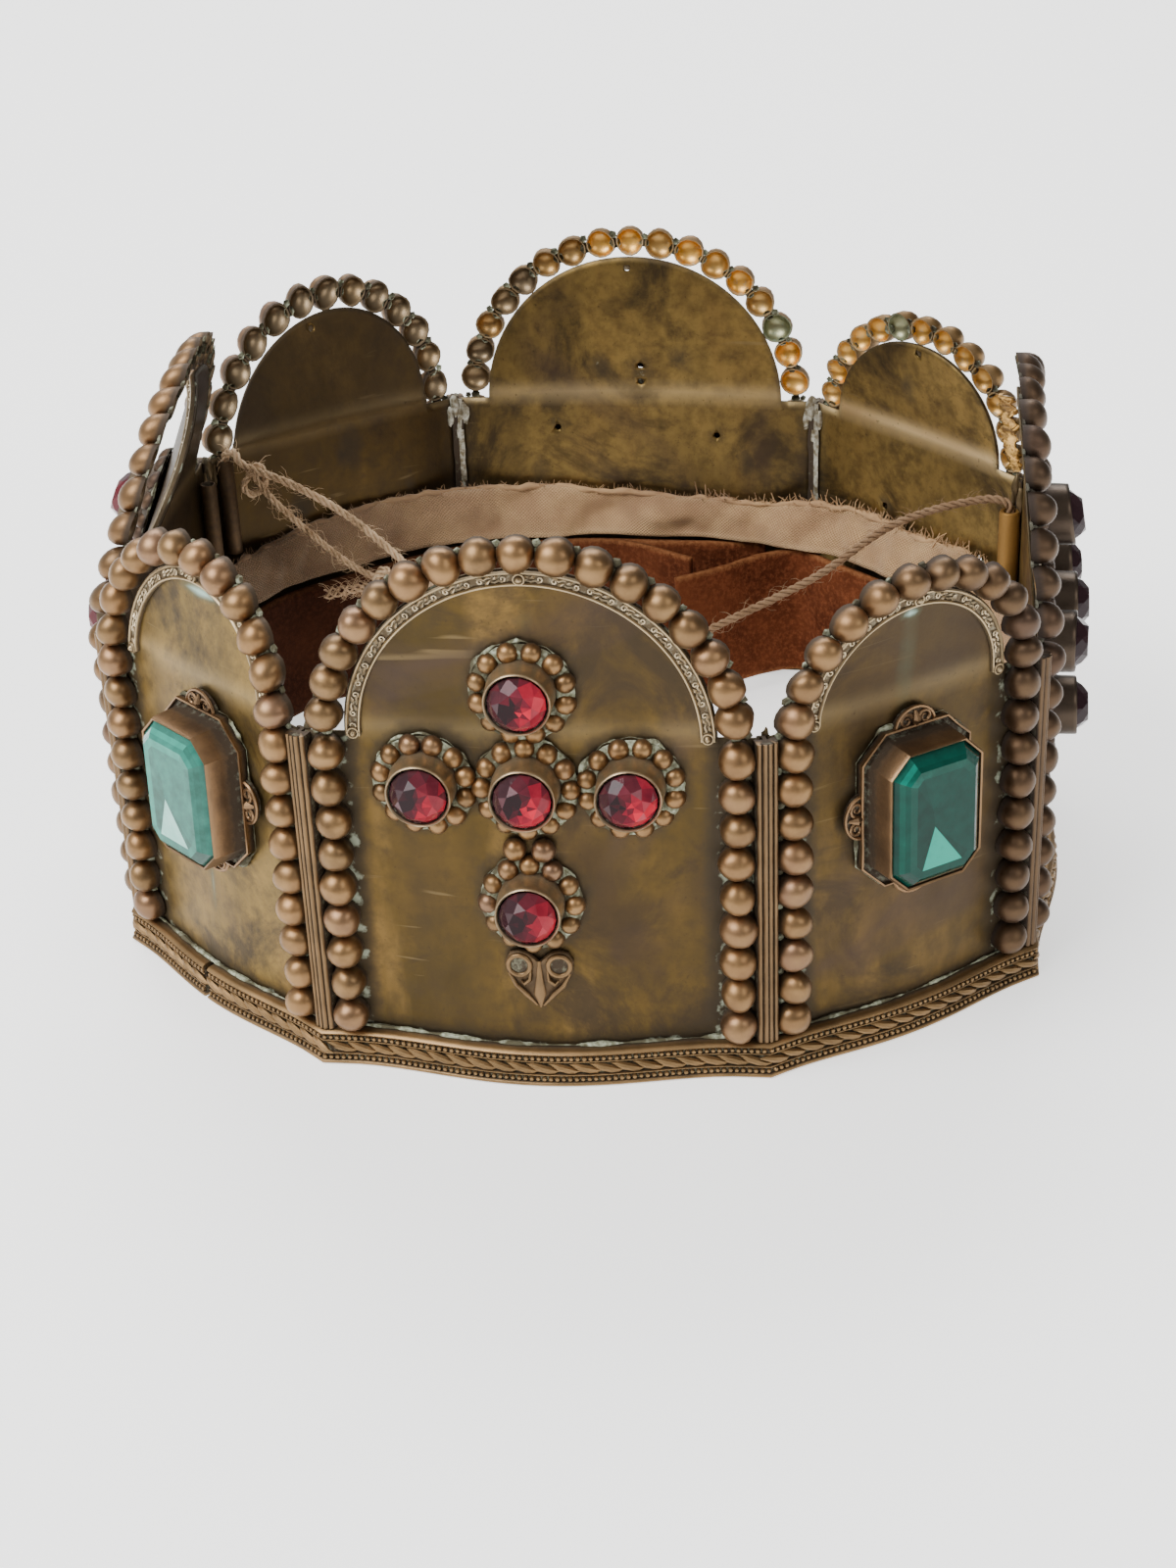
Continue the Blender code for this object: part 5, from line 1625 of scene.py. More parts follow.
def add_red_stone(bm, across, height, chance):
    def ring(radius, rise, turn, count=8):
        return [bm.verts.new(turned(across, height, radius, 2 * math.pi * (index + turn) / count, rise))
                for index in range(count)]

    turn = chance.uniform(0, 1)
    glow = chance.uniform(-0.5, 0.1)
    table = ring(RED_TABLE, RED_TOP, turn)
    inner = ring(RED_TABLE * 0.45, RED_TOP, turn + 0.5)
    star = ring(RED_RADIUS * 0.80, (RED_GIRDLE + RED_TOP) / 2 + 0.0003, turn + 0.5)
    girdle = ring(RED_RADIUS, RED_GIRDLE, 2 * turn, 16)
    skirt = ring(RED_RADIUS, RED_GIRDLE - 0.0006, 2 * turn, 16)
    base = ring(RED_RADIUS * 0.55, RED_GIRDLE - 0.0040, 2 * turn, 16)
    middle = bm.verts.new((across, -RED_TOP, height))
    culet = bm.verts.new((across, -(RED_GIRDLE - 0.0055), height))

    # Facet tones are painted light and shade: facets on one side of the stone, set by glow, are brighter
    def tone(index, spread, lift=0.0):
        angle = 2 * math.pi * (index + turn) / 8
        return min(1, max(0, 0.40 + lift + 0.40 * math.cos(angle - glow) + chance.uniform(-spread, spread)))

    for index in range(8):
        after = (index + 1) % 8
        before = (index - 1) % 8
        facet(bm, (table[index], table[after], inner[index]), tone(index + 0.5, 0.22))
        facet(bm, (table[index], inner[index], inner[before]), tone(index, 0.30, -0.12))
        facet(bm, (inner[before], inner[index], middle), tone(index, 0.35, -0.15))
        facet(bm, (table[index], star[index], table[after]), tone(index + 0.5, 0.15, 0.05), 0.14)
        first, second, third = (girdle[(2 * index + step) % 16] for step in range(3))
        facet(bm, (table[index], star[before], first, star[index]), tone(index, 0.15), 0.10)
        facet(bm, (star[index], first, second), tone(index + 0.5, 0.25, -0.1), 0.1)
        facet(bm, (star[index], second, third), tone(index + 1, 0.25), 0.1)
    for index in range(16):
        after = (index + 1) % 16
        facet(bm, (girdle[index], skirt[index], skirt[after], girdle[after]), 0.1)
        facet(bm, (skirt[index], base[index], base[after], skirt[after]), 0.1)
        facet(bm, (base[index], culet, base[after]), 0.1)


def glass_finish(name, dark, middle, bright, pale):
    """Foil-backed glass. A facet's tone is painted light and shade, from black through the colour to a lit
    glow.
    """
    finish = Finish(name, roughness=0.06, IOR=1.50, Specular_IOR_Level=0.17, Emission_Strength=0.04)
    tone = finish.attribute("tone")
    haze = finish.attribute("haze")
    grime = finish.attribute("grime")
    cloud = finish.noise(330, detail=3)
    depth = (tone + cloud * 0.30 - 0.15)
    colour = finish.blend(depth.ramp(0.05, 0.50), dark, middle)
    colour = finish.blend(depth.ramp(0.50, 0.95), colour, bright)
    # A pale painted reflection on some facets
    colour = finish.blend((haze * (cloud + 0.5)).ramp(0.0, 1.0), colour, pale)
    # Painted shade on the stones of the darker sides of the crown, and darkening of two front stones
    colour = finish.blend(grime, colour, (0.020, 0.010, 0.012))
    finish.paint(colour=colour, roughness=0.04 + cloud * 0.08)
    # The facet colour also glows faintly, a painted glow with no lamp in the stone
    finish.feed(finish.shader.inputs["Emission Color"], colour)
    finish.bump(finish.noise(1400, detail=2), 0.00004, 0.4)
    return finish.material


print("a stone starts with", len(start_glass().faces.layers.float), "painted numbers")

# %% [markdown]
# Painted shade darkens the stones on the dark sides of the crown, and two of the front ones are darker.

# %% Setting the red stones
ruby_glass = glass_finish("ruby_glass", (0.010, 0.0005, 0.002), (0.105, 0.001, 0.010), (0.52, 0.006, 0.026),
                          (0.26, 0.13, 0.15))
RED_DARKENING = {"left": 0.34, "bottom": 0.24}
red_stones = []
for number, panel in enumerate(WIDE):
    chance = random.Random(200 + number)
    for label, (across, height) in CROSS_PLACES.items():
        bm = start_glass()
        add_red_stone(bm, across, height, chance)
        stone = solid_object(f"ruby_{panel.name}_{label}", bm, ruby_glass, smooth_angle=2)
        panel.bend(stone)
        # Stones on the dark sides get painted shade, and two front stones are darkened
        dark = RED_DARKENING.get(label, 0.0) if panel.name == "front" else CROSS_SHADE.get(panel.name, 0.0)
        colour_all(stone, "grime", dark)
        red_stones.append(seat(stone, "red_glass", f"red_stone_{panel.name}_{label}"))
print("red stones:", len(red_stones))

# %% [markdown]
# The four narrow sides carry long step-cut stones in box cups on trays. The stones are cut in
# flat steps down to a long keel, and through the table the keel shows as a stretched X. The
# box stands stiff on the swell of the sheet, so it isn't bent to it.

# %% Settings of the green stones
GREEN_CORNER = 0.0046
LOBE_REACH = 0.0050
LOBE_HALF_LENGTH = 0.0058
LOBE_OFFSET = 0.0028


def cut_corners(growth, spans=1):
    """A rectangle with its corners cut, grown by so much, and with each side in so many spans."""
    half_width, half_height = GREEN_HALF_WIDTH + growth, GREEN_HALF_HEIGHT + growth
    corner = GREEN_CORNER + 0.6 * growth
    inner, upper = half_width - corner, half_height - corner
    points = [(half_width, -upper), (half_width, upper), (inner, half_height), (-inner, half_height),
              (-half_width, upper), (-half_width, -upper), (-inner, -half_height), (inner, -half_height)]
    outline = []
    for here, there in zip(points, points[1:] + points[:1]):
        for span in range(spans):
            share = span / spans
            outline.append(tuple(a + (b - a) * share for a, b in zip(here, there)))
    return outline


def stand(thing, panel):
    """Stand a stiff piece on the crest of the panel's swell."""
    for vertex in thing.data.vertices:
        across, out, height = vertex.co.x, -vertex.co.y, vertex.co.z
        slide = panel.slide * max(0.0, height - LEAN_START)
        plan = panel.middle + panel.along * (across + slide) + panel.outward * (panel.crest(height) + out)
        vertex.co = (plan.x, plan.y, height)


# Rows of: growth from the stone's outline, rise, relief, dirt
BOX_SECTION = (
    (-0.0015, 0.0004, 0.0, 1.0), (0.0027, 0.0004, 0.2, 0.9), (0.0030, 0.0012, 0.6, 0.6),
    (0.0031, 0.0026, 1.0, 0.1), (0.0027, 0.0027, 1.0, 0.1), (0.0025, 0.0016, 0.3, 0.9),
    (0.0015, 0.0015, 0.1, 1.0), (0.0011, 0.0022, 0.4, 0.9), (0.0010, 0.0060, 0.5, 0.4),
    (0.0009, 0.0098, 0.8, 0.2), (0.0006, 0.0106, 1.0, 0.0), (0.0002, 0.0104, 0.9, 0.3),
    (0.0001, 0.0092, 0.2, 1.0), (0.0001, 0.0060, 0.0, 1.0),
)


def lobe_shape(bm, centre, way_x, way_z):
    """A scrolled lobe on one side of the tray: a half round plate, its rim and two curls."""
    def put(along, out, rise):
        side = centre[0] + way_x * out - way_z * along
        return (side, -rise, centre[1] + way_z * out + way_x * along)

    arc = [(math.cos(math.pi * step / 14), math.sin(math.pi * step / 14)) for step in range(15)]
    rings = []
    for rise, share in ((0.0004, 1.0), (0.0013, 1.0), (0.0016, 0.9)):
        rings.append([put(x * LOBE_HALF_LENGTH * share, (y * share - 0.15) * LOBE_REACH, rise)
                      for x, y in arc])
    sweep(bm, rings, [(0.2, 0.9)] * 15)
    rim = [put(x * LOBE_HALF_LENGTH * 0.93, (y * 0.93 - 0.05) * LOBE_REACH, 0.0017) for x, y in arc]
    wire(bm, rim, 0.00045, sides=6, relief=1.0, dirt=0.2)
    for side in (-1, 1):
        curl = []
        for step in range(15):
            share = step / 14
            angle = math.pi * (0.9 - 2.6 * share)
            radius = 0.0018 * (1 - 0.72 * share)
            along = side * (0.0026 + radius * math.cos(angle))
            curl.append(put(along, 0.0014 + radius * math.sin(angle), 0.0019))
        wire(bm, curl, [0.00050 - 0.00002 * step for step in range(15)], sides=6, relief=1.0, dirt=0.3)
    leaf = [put(0, -0.0006, 0.0018), put(0, 0.0016, 0.0024), put(0, 0.0036, 0.0018)]
    wire(bm, leaf, [0.0005, 0.0011, 0.0003], sides=7, relief=1.0, dirt=0.3)


box_brass = stamped_finish("box_brass", (0.26, 0.155, 0.078), (0.135, 0.083, 0.046), CHOCOLATE, crust=0.35)


def make_green_setting(panel, seed):
    across, height, _ = FEATURES[panel.name][0]
    bm = bmesh.new()
    drift = Vector((seed * 3.7, 0, 0))
    rings = []
    for growth, rise, _, _ in BOX_SECTION:
        ring = []
        for side, level in cut_corners(growth, 5):
            spot = Vector((side, rise, level)) * 130 + drift
            push = 0.00016 * noise.noise(spot)
            ring.append((across + side * (1 + push / 0.012), -rise - 0.5 * push, height + level + push))
        rings.append(ring)
    sweep(bm, rings, rows=[row[2:] for row in BOX_SECTION])
    for way_x, way_z in ((1, 0), (0, 1), (-1, 0), (0, -1)):
        centre = (across + way_x * (GREEN_HALF_WIDTH + LOBE_OFFSET),
                  height + way_z * (GREEN_HALF_HEIGHT + LOBE_OFFSET))
        lobe_shape(bm, centre, way_x, way_z)
    setting = solid_object(f"tray_{panel.name}", bm, box_brass, smooth_angle=40)
    stand(setting, panel)
    return seat(setting, "bead_brass", f"green_setting_{panel.name}")


NARROW = [panel for panel in PANELS if panel.form == "narrow"]
settings = [make_green_setting(panel, 120 + number) for number, panel in enumerate(NARROW)]
print("green settings:", [setting.name for setting in settings])

# %% [markdown]
# Each stone is cut in steps. Every side of the cut has its own tone of painted light and shade,
# as the photo shows, and the stone on the front left has a pale painted reflection.

# %% Green stones
# Each step of the cut: growth from the outline, rise
GREEN_STEPS = ((0.0, 0.0098), (-0.0011, 0.0112), (-0.0021, 0.0121), (-0.0031, 0.0128))
KEEL = ((-0.0022, -0.0012), (-0.0028, 0.0034))
# How each stone is painted lit: lift of its painted tone, painted reflection on its faces
GREEN_LOOKS = {"front_left": (0.17, 0.34), "front_right": (-0.10, 0.0), "back_right": (0.0, 0.1),
               "back_left": (0.0, 0.1)}
aqua_glass = glass_finish("aqua_glass", (0.001, 0.009, 0.007), (0.003, 0.062, 0.043), (0.020, 0.340, 0.250),
                          (0.50, 0.76, 0.68))


def make_green_stone(panel, seed):
    across, height, _ = FEATURES[panel.name][0]
    lift, haze = GREEN_LOOKS[panel.name]
    chance = random.Random(seed)
    bm = start_glass()

    def ring(growth, rise):
        return [bm.verts.new((across + side, -rise, height + level)) for side, level in cut_corners(growth)]

    rings = [ring(-0.0075, 0.0040), ring(-0.0003, 0.0088)] + [ring(*step) for step in GREEN_STEPS]
    # Sides run right, top right, top, top left, left, bottom left, bottom, bottom right
    # Painted light and shade on the sides: brightest at the top left, darkest at the bottom right
    sides = (0.10, 0.25, 0.55, 0.70, 0.45, 0.25, 0.05, -0.05)
    facet(bm, list(reversed(rings[0])), 0.1)
    for row, (first, second) in enumerate(zip(rings, rings[1:])):
        for index in range(8):
            after = (index + 1) % 8
            tone = 0.1 if row < 2 else 0.25 + lift + 0.5 * sides[index] + chance.uniform(-0.12, 0.12)
            # Painted reflection, strongest on the bottom and bottom left sides
            cloud = haze * (0.60 if index in (5, 6) else 0.15)
            facet(bm, (first[index], first[after], second[after], second[index]), tone, cloud)
    table = rings[-1]
    rise = GREEN_STEPS[-1][1]
    inner = ring(GREEN_STEPS[-1][0] - 0.0019, rise)
    for index in range(8):
        after = (index + 1) % 8
        tone = 0.42 + lift + 0.25 * sides[index] + chance.uniform(-0.05, 0.05)
        facet(bm, (table[index], table[after], inner[after], inner[index]), tone, haze * 0.15)
    # The keel stands off the middle, and one back facet is painted bright with a painted reflection
    keel = [bm.verts.new((across + side, -rise, height + level)) for side, level in KEEL]
    tones = (0.40, 0.44, 0.46, 0.42, 0.34, 0.36, 1.05, 0.38)
    ends = (None, 1, 1, 1, None, 0, 0, 0)
    for index in range(8):
        after = (index + 1) % 8
        tone = tones[index] + lift + chance.uniform(-0.04, 0.04)
        cloud = haze * (1.7 if index == 6 else 0.15)
        if ends[index] is None:
            low, high = (keel[0], keel[1]) if index == 0 else (keel[1], keel[0])
            facet(bm, (inner[index], inner[after], high, low), tone, cloud)
        else:
            facet(bm, (inner[index], inner[after], keel[ends[index]]), tone, cloud)
    stone = solid_object(f"aqua_{panel.name}", bm, aqua_glass, smooth_angle=2)
    stand(stone, panel)
    return seat(stone, "green_glass", f"green_stone_{panel.name}")


green_stones = [make_green_stone(panel, 140 + number) for number, panel in enumerate(NARROW)]
print("green stones:", [stone.name for stone in green_stones])

# %% [markdown]
# Inside, a strip of coarse cotton covers the backs of the sheets, and below it a strip of felt
# stands off the wall. Both are open cloth: a grid of points along a smooth line, with soft
# waves, then a little thickness. Two painted numbers run along and across the cloth in metres,
# so the weave can be drawn with sine waves that follow the cloth and not the room.

# %% Making cloth
WALL_SHARES = (-0.30, 0.0, 0.30)
EDGE_WIDTH = 0.0025


def smooth_line(places, count, closed=False):
    """Even steps along a smooth curve through chosen places."""
    total = len(places)
    spans = total if closed else total - 1
    points = []
    for step in range(count):
        position = spans * step / (count if closed else count - 1)
        span = min(int(position), spans - 1)
        t = position - span
        picks = [span - 1, span, span + 1, span + 2]
        picks = [pick % total if closed else min(max(pick, 0), total - 1) for pick in picks]
        a, b, c, d = (places[pick] for pick in picks)
        bent = 2 * b + (c - a) * t + (2 * a - 5 * b + 4 * c - d) * t ** 2 + (3 * b - a - 3 * c + d) * t ** 3
        points.append(bent * 0.5)
    return points


def wall_places(panel, inset, height):
    return [panel.place(share * panel.width, height, -inset) for share in WALL_SHARES]


def make_cloth(name, lower, upper, rows, closed, thickness, wave, wave_size, material, seed):
    """Cloth between a lower and an upper line, with soft waves that fade at its edges."""
    bm = bmesh.new()
    marks = [layer(bm, label) for label in ("along", "up", "edge")]
    grid = []
    walked = 0.0
    drift = Vector((seed * 2.3, 0, 0))
    for index, (low, high) in enumerate(zip(lower, upper)):
        if index:
            walked += (low - lower[index - 1]).length
        ahead = lower[(index + 1) % len(lower)] if closed or index + 1 < len(lower) else low
        way = (ahead - low) if (ahead - low).length > 0 else (low - lower[index - 1])
        across = Vector((way.y, -way.x, 0)).normalized()
        line = []
        for row in range(rows + 1):
            share = row / rows
            point = low.lerp(high, share)
            ripple = wave * noise.noise(point * wave_size + drift)
            ripple += 0.4 * wave * noise.noise(point * wave_size * 3.1 + drift)
            fade = 0.35 + 0.65 * math.sin(math.pi * share)
            vertex = bm.verts.new(point + across * ripple * fade)
            width = (high - low).length
            edge = near(min(share, 1 - share) * width, EDGE_WIDTH)
            for mark, amount in zip(marks, (walked, share * width, edge)):
                vertex[mark] = amount
            line.append(vertex)
        grid.append(line)
    skin(bm, grid, closed)
    cloth = to_object(name, bm, material, smooth_angle=60)
    wall = cloth.modifiers.new("thickness", "SOLIDIFY")
    wall.thickness = thickness
    wall.offset = 0.0
    return freeze(cloth)


print("wall places of a panel:", len(wall_places(PANELS[0], 0.0, 0.0)))

# %% [markdown]
# The weave is drawn by two crossed sine waves. Both cloths are darker toward the left, as in the
# photo, with painted shade.

# %% Finishes of the cloths
WARP_PITCH = 0.0010
WEFT_PITCH = 0.0009
cotton = Finish("cotton_cloth", roughness=0.95, Sheen_Weight=0.10, Sheen_Roughness=0.5)
warp = cotton.attribute("along") * (2 * math.pi / WARP_PITCH)
weft = cotton.attribute("up") * (2 * math.pi / WEFT_PITCH)
weave = warp.maths("SINE", warp) * weft.maths("SINE", weft)
patches = cotton.noise(90, detail=4)
threads = cotton.noise(900, detail=2)
tone = cotton.blend(patches.ramp(0.35, 0.68), (0.35, 0.205, 0.105), (0.54, 0.345, 0.170))
tone = cotton.blend(weave.ramp(-1.0, 0.4), (0.23, 0.135, 0.060), tone)
tone = cotton.blend((cotton.attribute("edge") * 0.5).ramp(0.0, 1.0), tone, (0.52, 0.345, 0.185))
tone = cotton.blend(cotton.noise(40, detail=3).ramp(0.54, 0.70) * 0.6, tone, (0.24, 0.135, 0.07))
# Painted shade toward the left of the crown
tone = cotton.blend(cotton.axis("X").ramp(-0.020, -0.095) * 0.72, tone, (0.085, 0.050, 0.030))
cotton.paint(colour=tone)
cotton.bump(weave * 0.5 + threads * 0.4, 0.0004, 0.8)

felt = Finish("felt_cloth", roughness=1.0, Specular_IOR_Level=0.08)
fuzz = felt.noise(700, detail=4, roughness=0.7)
blots = felt.noise(60, detail=4)
tone = felt.blend(blots.ramp(0.35, 0.68), (0.050, 0.012, 0.004), (0.118, 0.033, 0.012))
tone = felt.blend(fuzz.ramp(0.45, 0.70) * 0.7, tone, (0.185, 0.057, 0.023))
tone = felt.blend((felt.attribute("edge") * fuzz * 1.4).ramp(0.3, 1.0), tone, (0.24, 0.10, 0.040))
# Painted shade toward the left of the crown
tone = felt.blend(felt.axis("X").ramp(0.030, -0.080) * 0.75, tone, (0.018, 0.007, 0.004))
felt.paint(colour=tone)
felt.bump(fuzz * 0.6 + blots * 0.5, 0.0009, 0.9)
print("cloths:", cotton.material.name, felt.material.name)

# %% [markdown]
# The cotton leans: its upper edge lies on the sheets and its lower edge stands off them. Its
# upper edge has a height at three places of each panel.

# %% Cotton
COTTON_TOP = 0.0575
COTTON_FOOT = 0.0465
COTTON_TOP_INSET = 0.0032
COTTON_FOOT_INSET = 0.0088
COTTON_STEPS = 432
COTTON_HEIGHTS = (
    (1.00, 1.02, 1.00), (0.99, 1.00, 1.02), (1.03, 1.04, 1.05), (1.06, 1.05, 1.06),
    (0.99, 1.02, 1.06), (1.08, 1.06, 1.03), (1.01, 1.00, 1.01), (1.00, 1.01, 1.00),
)
upper, lower = [], []
for panel, heights in zip(PANELS, COTTON_HEIGHTS):
    for place, share in zip(wall_places(panel, COTTON_TOP_INSET, COTTON_TOP), heights):
        upper.append(Vector((place.x, place.y, COTTON_TOP * share)))
    lower += wall_places(panel, COTTON_FOOT_INSET, COTTON_FOOT)
cotton_lines = [smooth_line(line, COTTON_STEPS, closed=True) for line in (lower, upper)]
for point in cotton_lines[1]:
    point.z += 0.0011 * noise.noise(point * 55) + 0.0007 * noise.noise(point * 190)
cotton_piece = make_cloth("cotton_strip", *cotton_lines, rows=12, closed=True, thickness=0.0008,
                          wave=0.0044, wave_size=58.0, material=cotton.material, seed=3)
seat(cotton_piece, "cotton", "cotton_band")
cotton_length = line_length(cotton_lines[0] + cotton_lines[0][:1])
cotton_width = sum((a - b).length for a, b in zip(*cotton_lines)) / len(cotton_lines[0])
print("cotton strip in mm:", round(1000 * cotton_length), "by", round(1000 * cotton_width, 1))

# %% [markdown]
# The felt runs from a loose end inside the back right corner all the way round and ends behind
# the back panel, so its two ends overlap with a gap between them.

# %% Felt
FELT_TOP = 0.0456
FELT_FOOT = 0.0065
FELT_INSET = 0.0105
FELT_TAB_FOOT = 0.0300
FELT_INNER_END = ((0.149, 0.670), (0.272, 0.762), (0.365, 0.835), (0.465, 0.868))
FELT_TAB = ((-0.020, 0.905), (0.040, 0.880), (0.110, 0.835), (0.180, 0.790))
FELT_BACK_END = ((-0.360, 0.905), (-0.150, 0.925), (0.060, 0.925), (0.240, 0.918), (0.370, 0.915))


def plan_place(across, depth, height=0.0):
    return Vector((across * HALF_WIDTH + SHIFT.x, depth * HALF_DEPTH + SHIFT.y, height))


places = [plan_place(*share) for share in FELT_INNER_END]
for name in ("back_right", "right", "front_right", "front", "front_left", "left", "back_left"):
    places += reversed(wall_places(BY_NAME[name], FELT_INSET, FELT_TOP))
places += [plan_place(*share) for share in FELT_BACK_END]
felt_line = smooth_line(places, 300)
felt_lines = []
for level in (FELT_FOOT, FELT_TOP):
    line = []
    for point in felt_line:
        wave = 0.0006 * noise.noise(Vector((point.x * 40, point.y * 40, level * 50)))
        line.append(Vector((point.x, point.y, level + wave - 0.0002)))
    felt_lines.append(line)
felt_piece = make_cloth("felt_strip", *felt_lines, rows=16, closed=False, thickness=0.0018,
                        wave=0.0007, wave_size=45.0, material=felt.material, seed=5)
seat(felt_piece, "felt", "felt_band")
tab_line = smooth_line([plan_place(*share) for share in FELT_TAB], 40)
tab_lines = [[Vector((point.x, point.y, level)) for point in tab_line]
             for level in (FELT_TAB_FOOT, FELT_TOP + 0.0006)]
felt_tab = make_cloth("felt_tab", *tab_lines, rows=8, closed=False, thickness=0.0016,
                      wave=0.0006, wave_size=60.0, material=felt.material, seed=8)
seat(felt_tab, "felt")
felt_length = line_length(felt_line)

# %% [markdown]
# The twine is three strands of jute laid together. Each strand is a wire that winds round the
# twine's own line, and thin stray fibres stand off it everywhere. It is tied off round one
# corner tube with a loop and a loose tail.

# %% Laying strands
def placed(route):
    return [Vector(point) + Vector((SHIFT.x, SHIFT.y, 0)) for point in route]


def even_line(points, count):
    """The same line with its points in even steps."""
    lengths = [0.0]
    for here, there in zip(points, points[1:]):
        lengths.append(lengths[-1] + (there - here).length)
    even, span = [], 0
    for step in range(count):
        goal = lengths[-1] * step / (count - 1)
        while span < len(points) - 2 and lengths[span + 1] < goal:
            span += 1
        share = (goal - lengths[span]) / max(1e-9, lengths[span + 1] - lengths[span])
        even.append(points[span].lerp(points[span + 1], min(1.0, share)))
    return even


def laid_strands(bm, line, radius, turn, strands=3, fray=0.0):
    """Wind strands round a line. Fray spreads them near the line's end."""
    step = (line[1] - line[0]).length
    side = Vector((0, 1, 0))
    frames = []
    for index, point in enumerate(line):
        way = (line[min(index + 1, len(line) - 1)] - line[max(index - 1, 0)]).normalized()
        side = (side - way * side.dot(way)).normalized()
        frames.append((point, side, way.cross(side)))
    for number in range(strands):
        path, sizes = [], []
        for index, (point, first, second) in enumerate(frames):
            angle = 2 * math.pi * (index * step / turn + number / strands)
            late = near(len(line) - 1 - index, len(line) * 0.25) if fray else 0.0
            wander = 1 + 0.12 * noise.noise(point * 300 + Vector((number * 9, 0, 0))) + fray * late
            reach = radius * 0.56 * wander
            path.append(point + first * reach * math.cos(angle) + second * reach * math.sin(angle))
            sizes.append(radius * 0.46 * (1 - 0.45 * late))
        wire(bm, path, sizes, sides=6, relief=0.5, dirt=number / strands)


def stray_fibres(bm, line, radius, count, chance):
    """Thin curved hairs that stand off the twine."""
    for _ in range(count):
        index = chance.randrange(1, len(line) - 2)
        way = (line[index + 1] - line[index]).normalized()
        off = Vector([chance.gauss(0, 1) for _ in range(3)]).cross(way).normalized()
        length = chance.uniform(0.0012, 0.0042)
        drift = way * chance.choice((-1, 1)) * length * 0.8
        start = line[index] + off * radius * 0.6
        tip = start + off * length * 0.7 + drift
        bow = start.lerp(tip, 0.5) + off * length * 0.2
        wire(bm, [start, bow, tip], [0.00007, 0.00006, 0.00003], sides=3, relief=0.6, dirt=0.5)


print("twine starts at:", placed([(0, 0, 0)])[0])

# %% [markdown]
# The routes below are points that the middle of the twine passes through, from the left tube
# down to the felt and up to the right tube. They are read off the photo where it shows the
# twine, and guessed where the front panels hide it.

# %% Twine
TWINE_RADIUS = 0.0012
TWINE_STEPS = 420
STRAND_TURN = 0.0075
TWINE_ROUTE = (
    (-0.1099, 0.0557, 0.0830), (-0.1099, 0.0557, 0.0880), (-0.1090, 0.0552, 0.0906),
    (-0.1062, 0.0535, 0.0914), (-0.1030, 0.0513, 0.0884), (-0.0890, 0.0500, 0.0830),
    (-0.0729, 0.0500, 0.0728), (-0.0543, 0.0500, 0.0547), (-0.0360, 0.0498, 0.0350),
    (-0.0160, 0.0494, 0.0225), (0.0050, 0.0490, 0.0265), (0.0287, 0.0485, 0.0404),
    (0.0580, 0.0480, 0.0570), (0.0770, 0.0470, 0.0720), (0.0900, 0.0460, 0.0785),
    (0.1025, 0.0448, 0.0822), (0.1080, 0.0438, 0.0829), (0.1111, 0.0431, 0.0818),
    (0.1116, 0.0430, 0.0790), (0.1116, 0.0430, 0.0745),
)
TIED_ROUTE = (
    (-0.1005, 0.0505, 0.0868), (-0.0985, 0.0490, 0.0835), (-0.0925, 0.0490, 0.0760),
    (-0.0830, 0.0500, 0.0660), (-0.0770, 0.0500, 0.0606), (-0.0700, 0.0500, 0.0560),
    (-0.0640, 0.0500, 0.0540), (-0.0612, 0.0512, 0.0556), (-0.0604, 0.0500, 0.0580),
    (-0.0620, 0.0486, 0.0566), (-0.0640, 0.0492, 0.0530), (-0.0720, 0.0500, 0.0516),
    (-0.0830, 0.0500, 0.0492),
)
KNOT_CENTRE = Vector((-0.0650, 0.0492, 0.0550))
KNOT_RADIUS = 0.0021
LOOP_ROUTE = (
    (-0.1010, 0.0500, 0.0868), (-0.1030, 0.0480, 0.0835), (-0.1010, 0.0482, 0.0810),
    (-0.0978, 0.0495, 0.0826), (-0.0972, 0.0512, 0.0860), (-0.0996, 0.0522, 0.0882),
    (-0.1020, 0.0506, 0.0862),
)
THIN_TWINE = TWINE_RADIUS * 0.85
jute = Finish("jute_twine", roughness=0.95)
fibre = jute.noise(1500, detail=3, roughness=0.7)
shade = jute.noise(150, detail=3)
tone = jute.blend((shade + fibre * 0.5 - 0.25).ramp(0.30, 0.75), (0.46, 0.295, 0.16), (0.90, 0.66, 0.42))
tone = jute.blend((fibre + shade).ramp(0.95, 0.75) * 0.6, tone, (0.17, 0.10, 0.05))
tone = jute.blend(jute.axis("X").ramp(-0.030, 0.030) * 0.85, tone, (0.160, 0.085, 0.038))
jute.paint(colour=tone)
jute.bump(fibre, 0.0005, 0.8)

chance = random.Random(17)
twine_line = even_line(smooth_line(placed(TWINE_ROUTE), 300), TWINE_STEPS)
twine_length = line_length(twine_line)
bm = bmesh.new()
laid_strands(bm, twine_line, TWINE_RADIUS, STRAND_TURN)
twine_piece = to_object("twine_rope", bm, jute.material, smooth_angle=70)
seat(twine_piece, "jute", "twine")

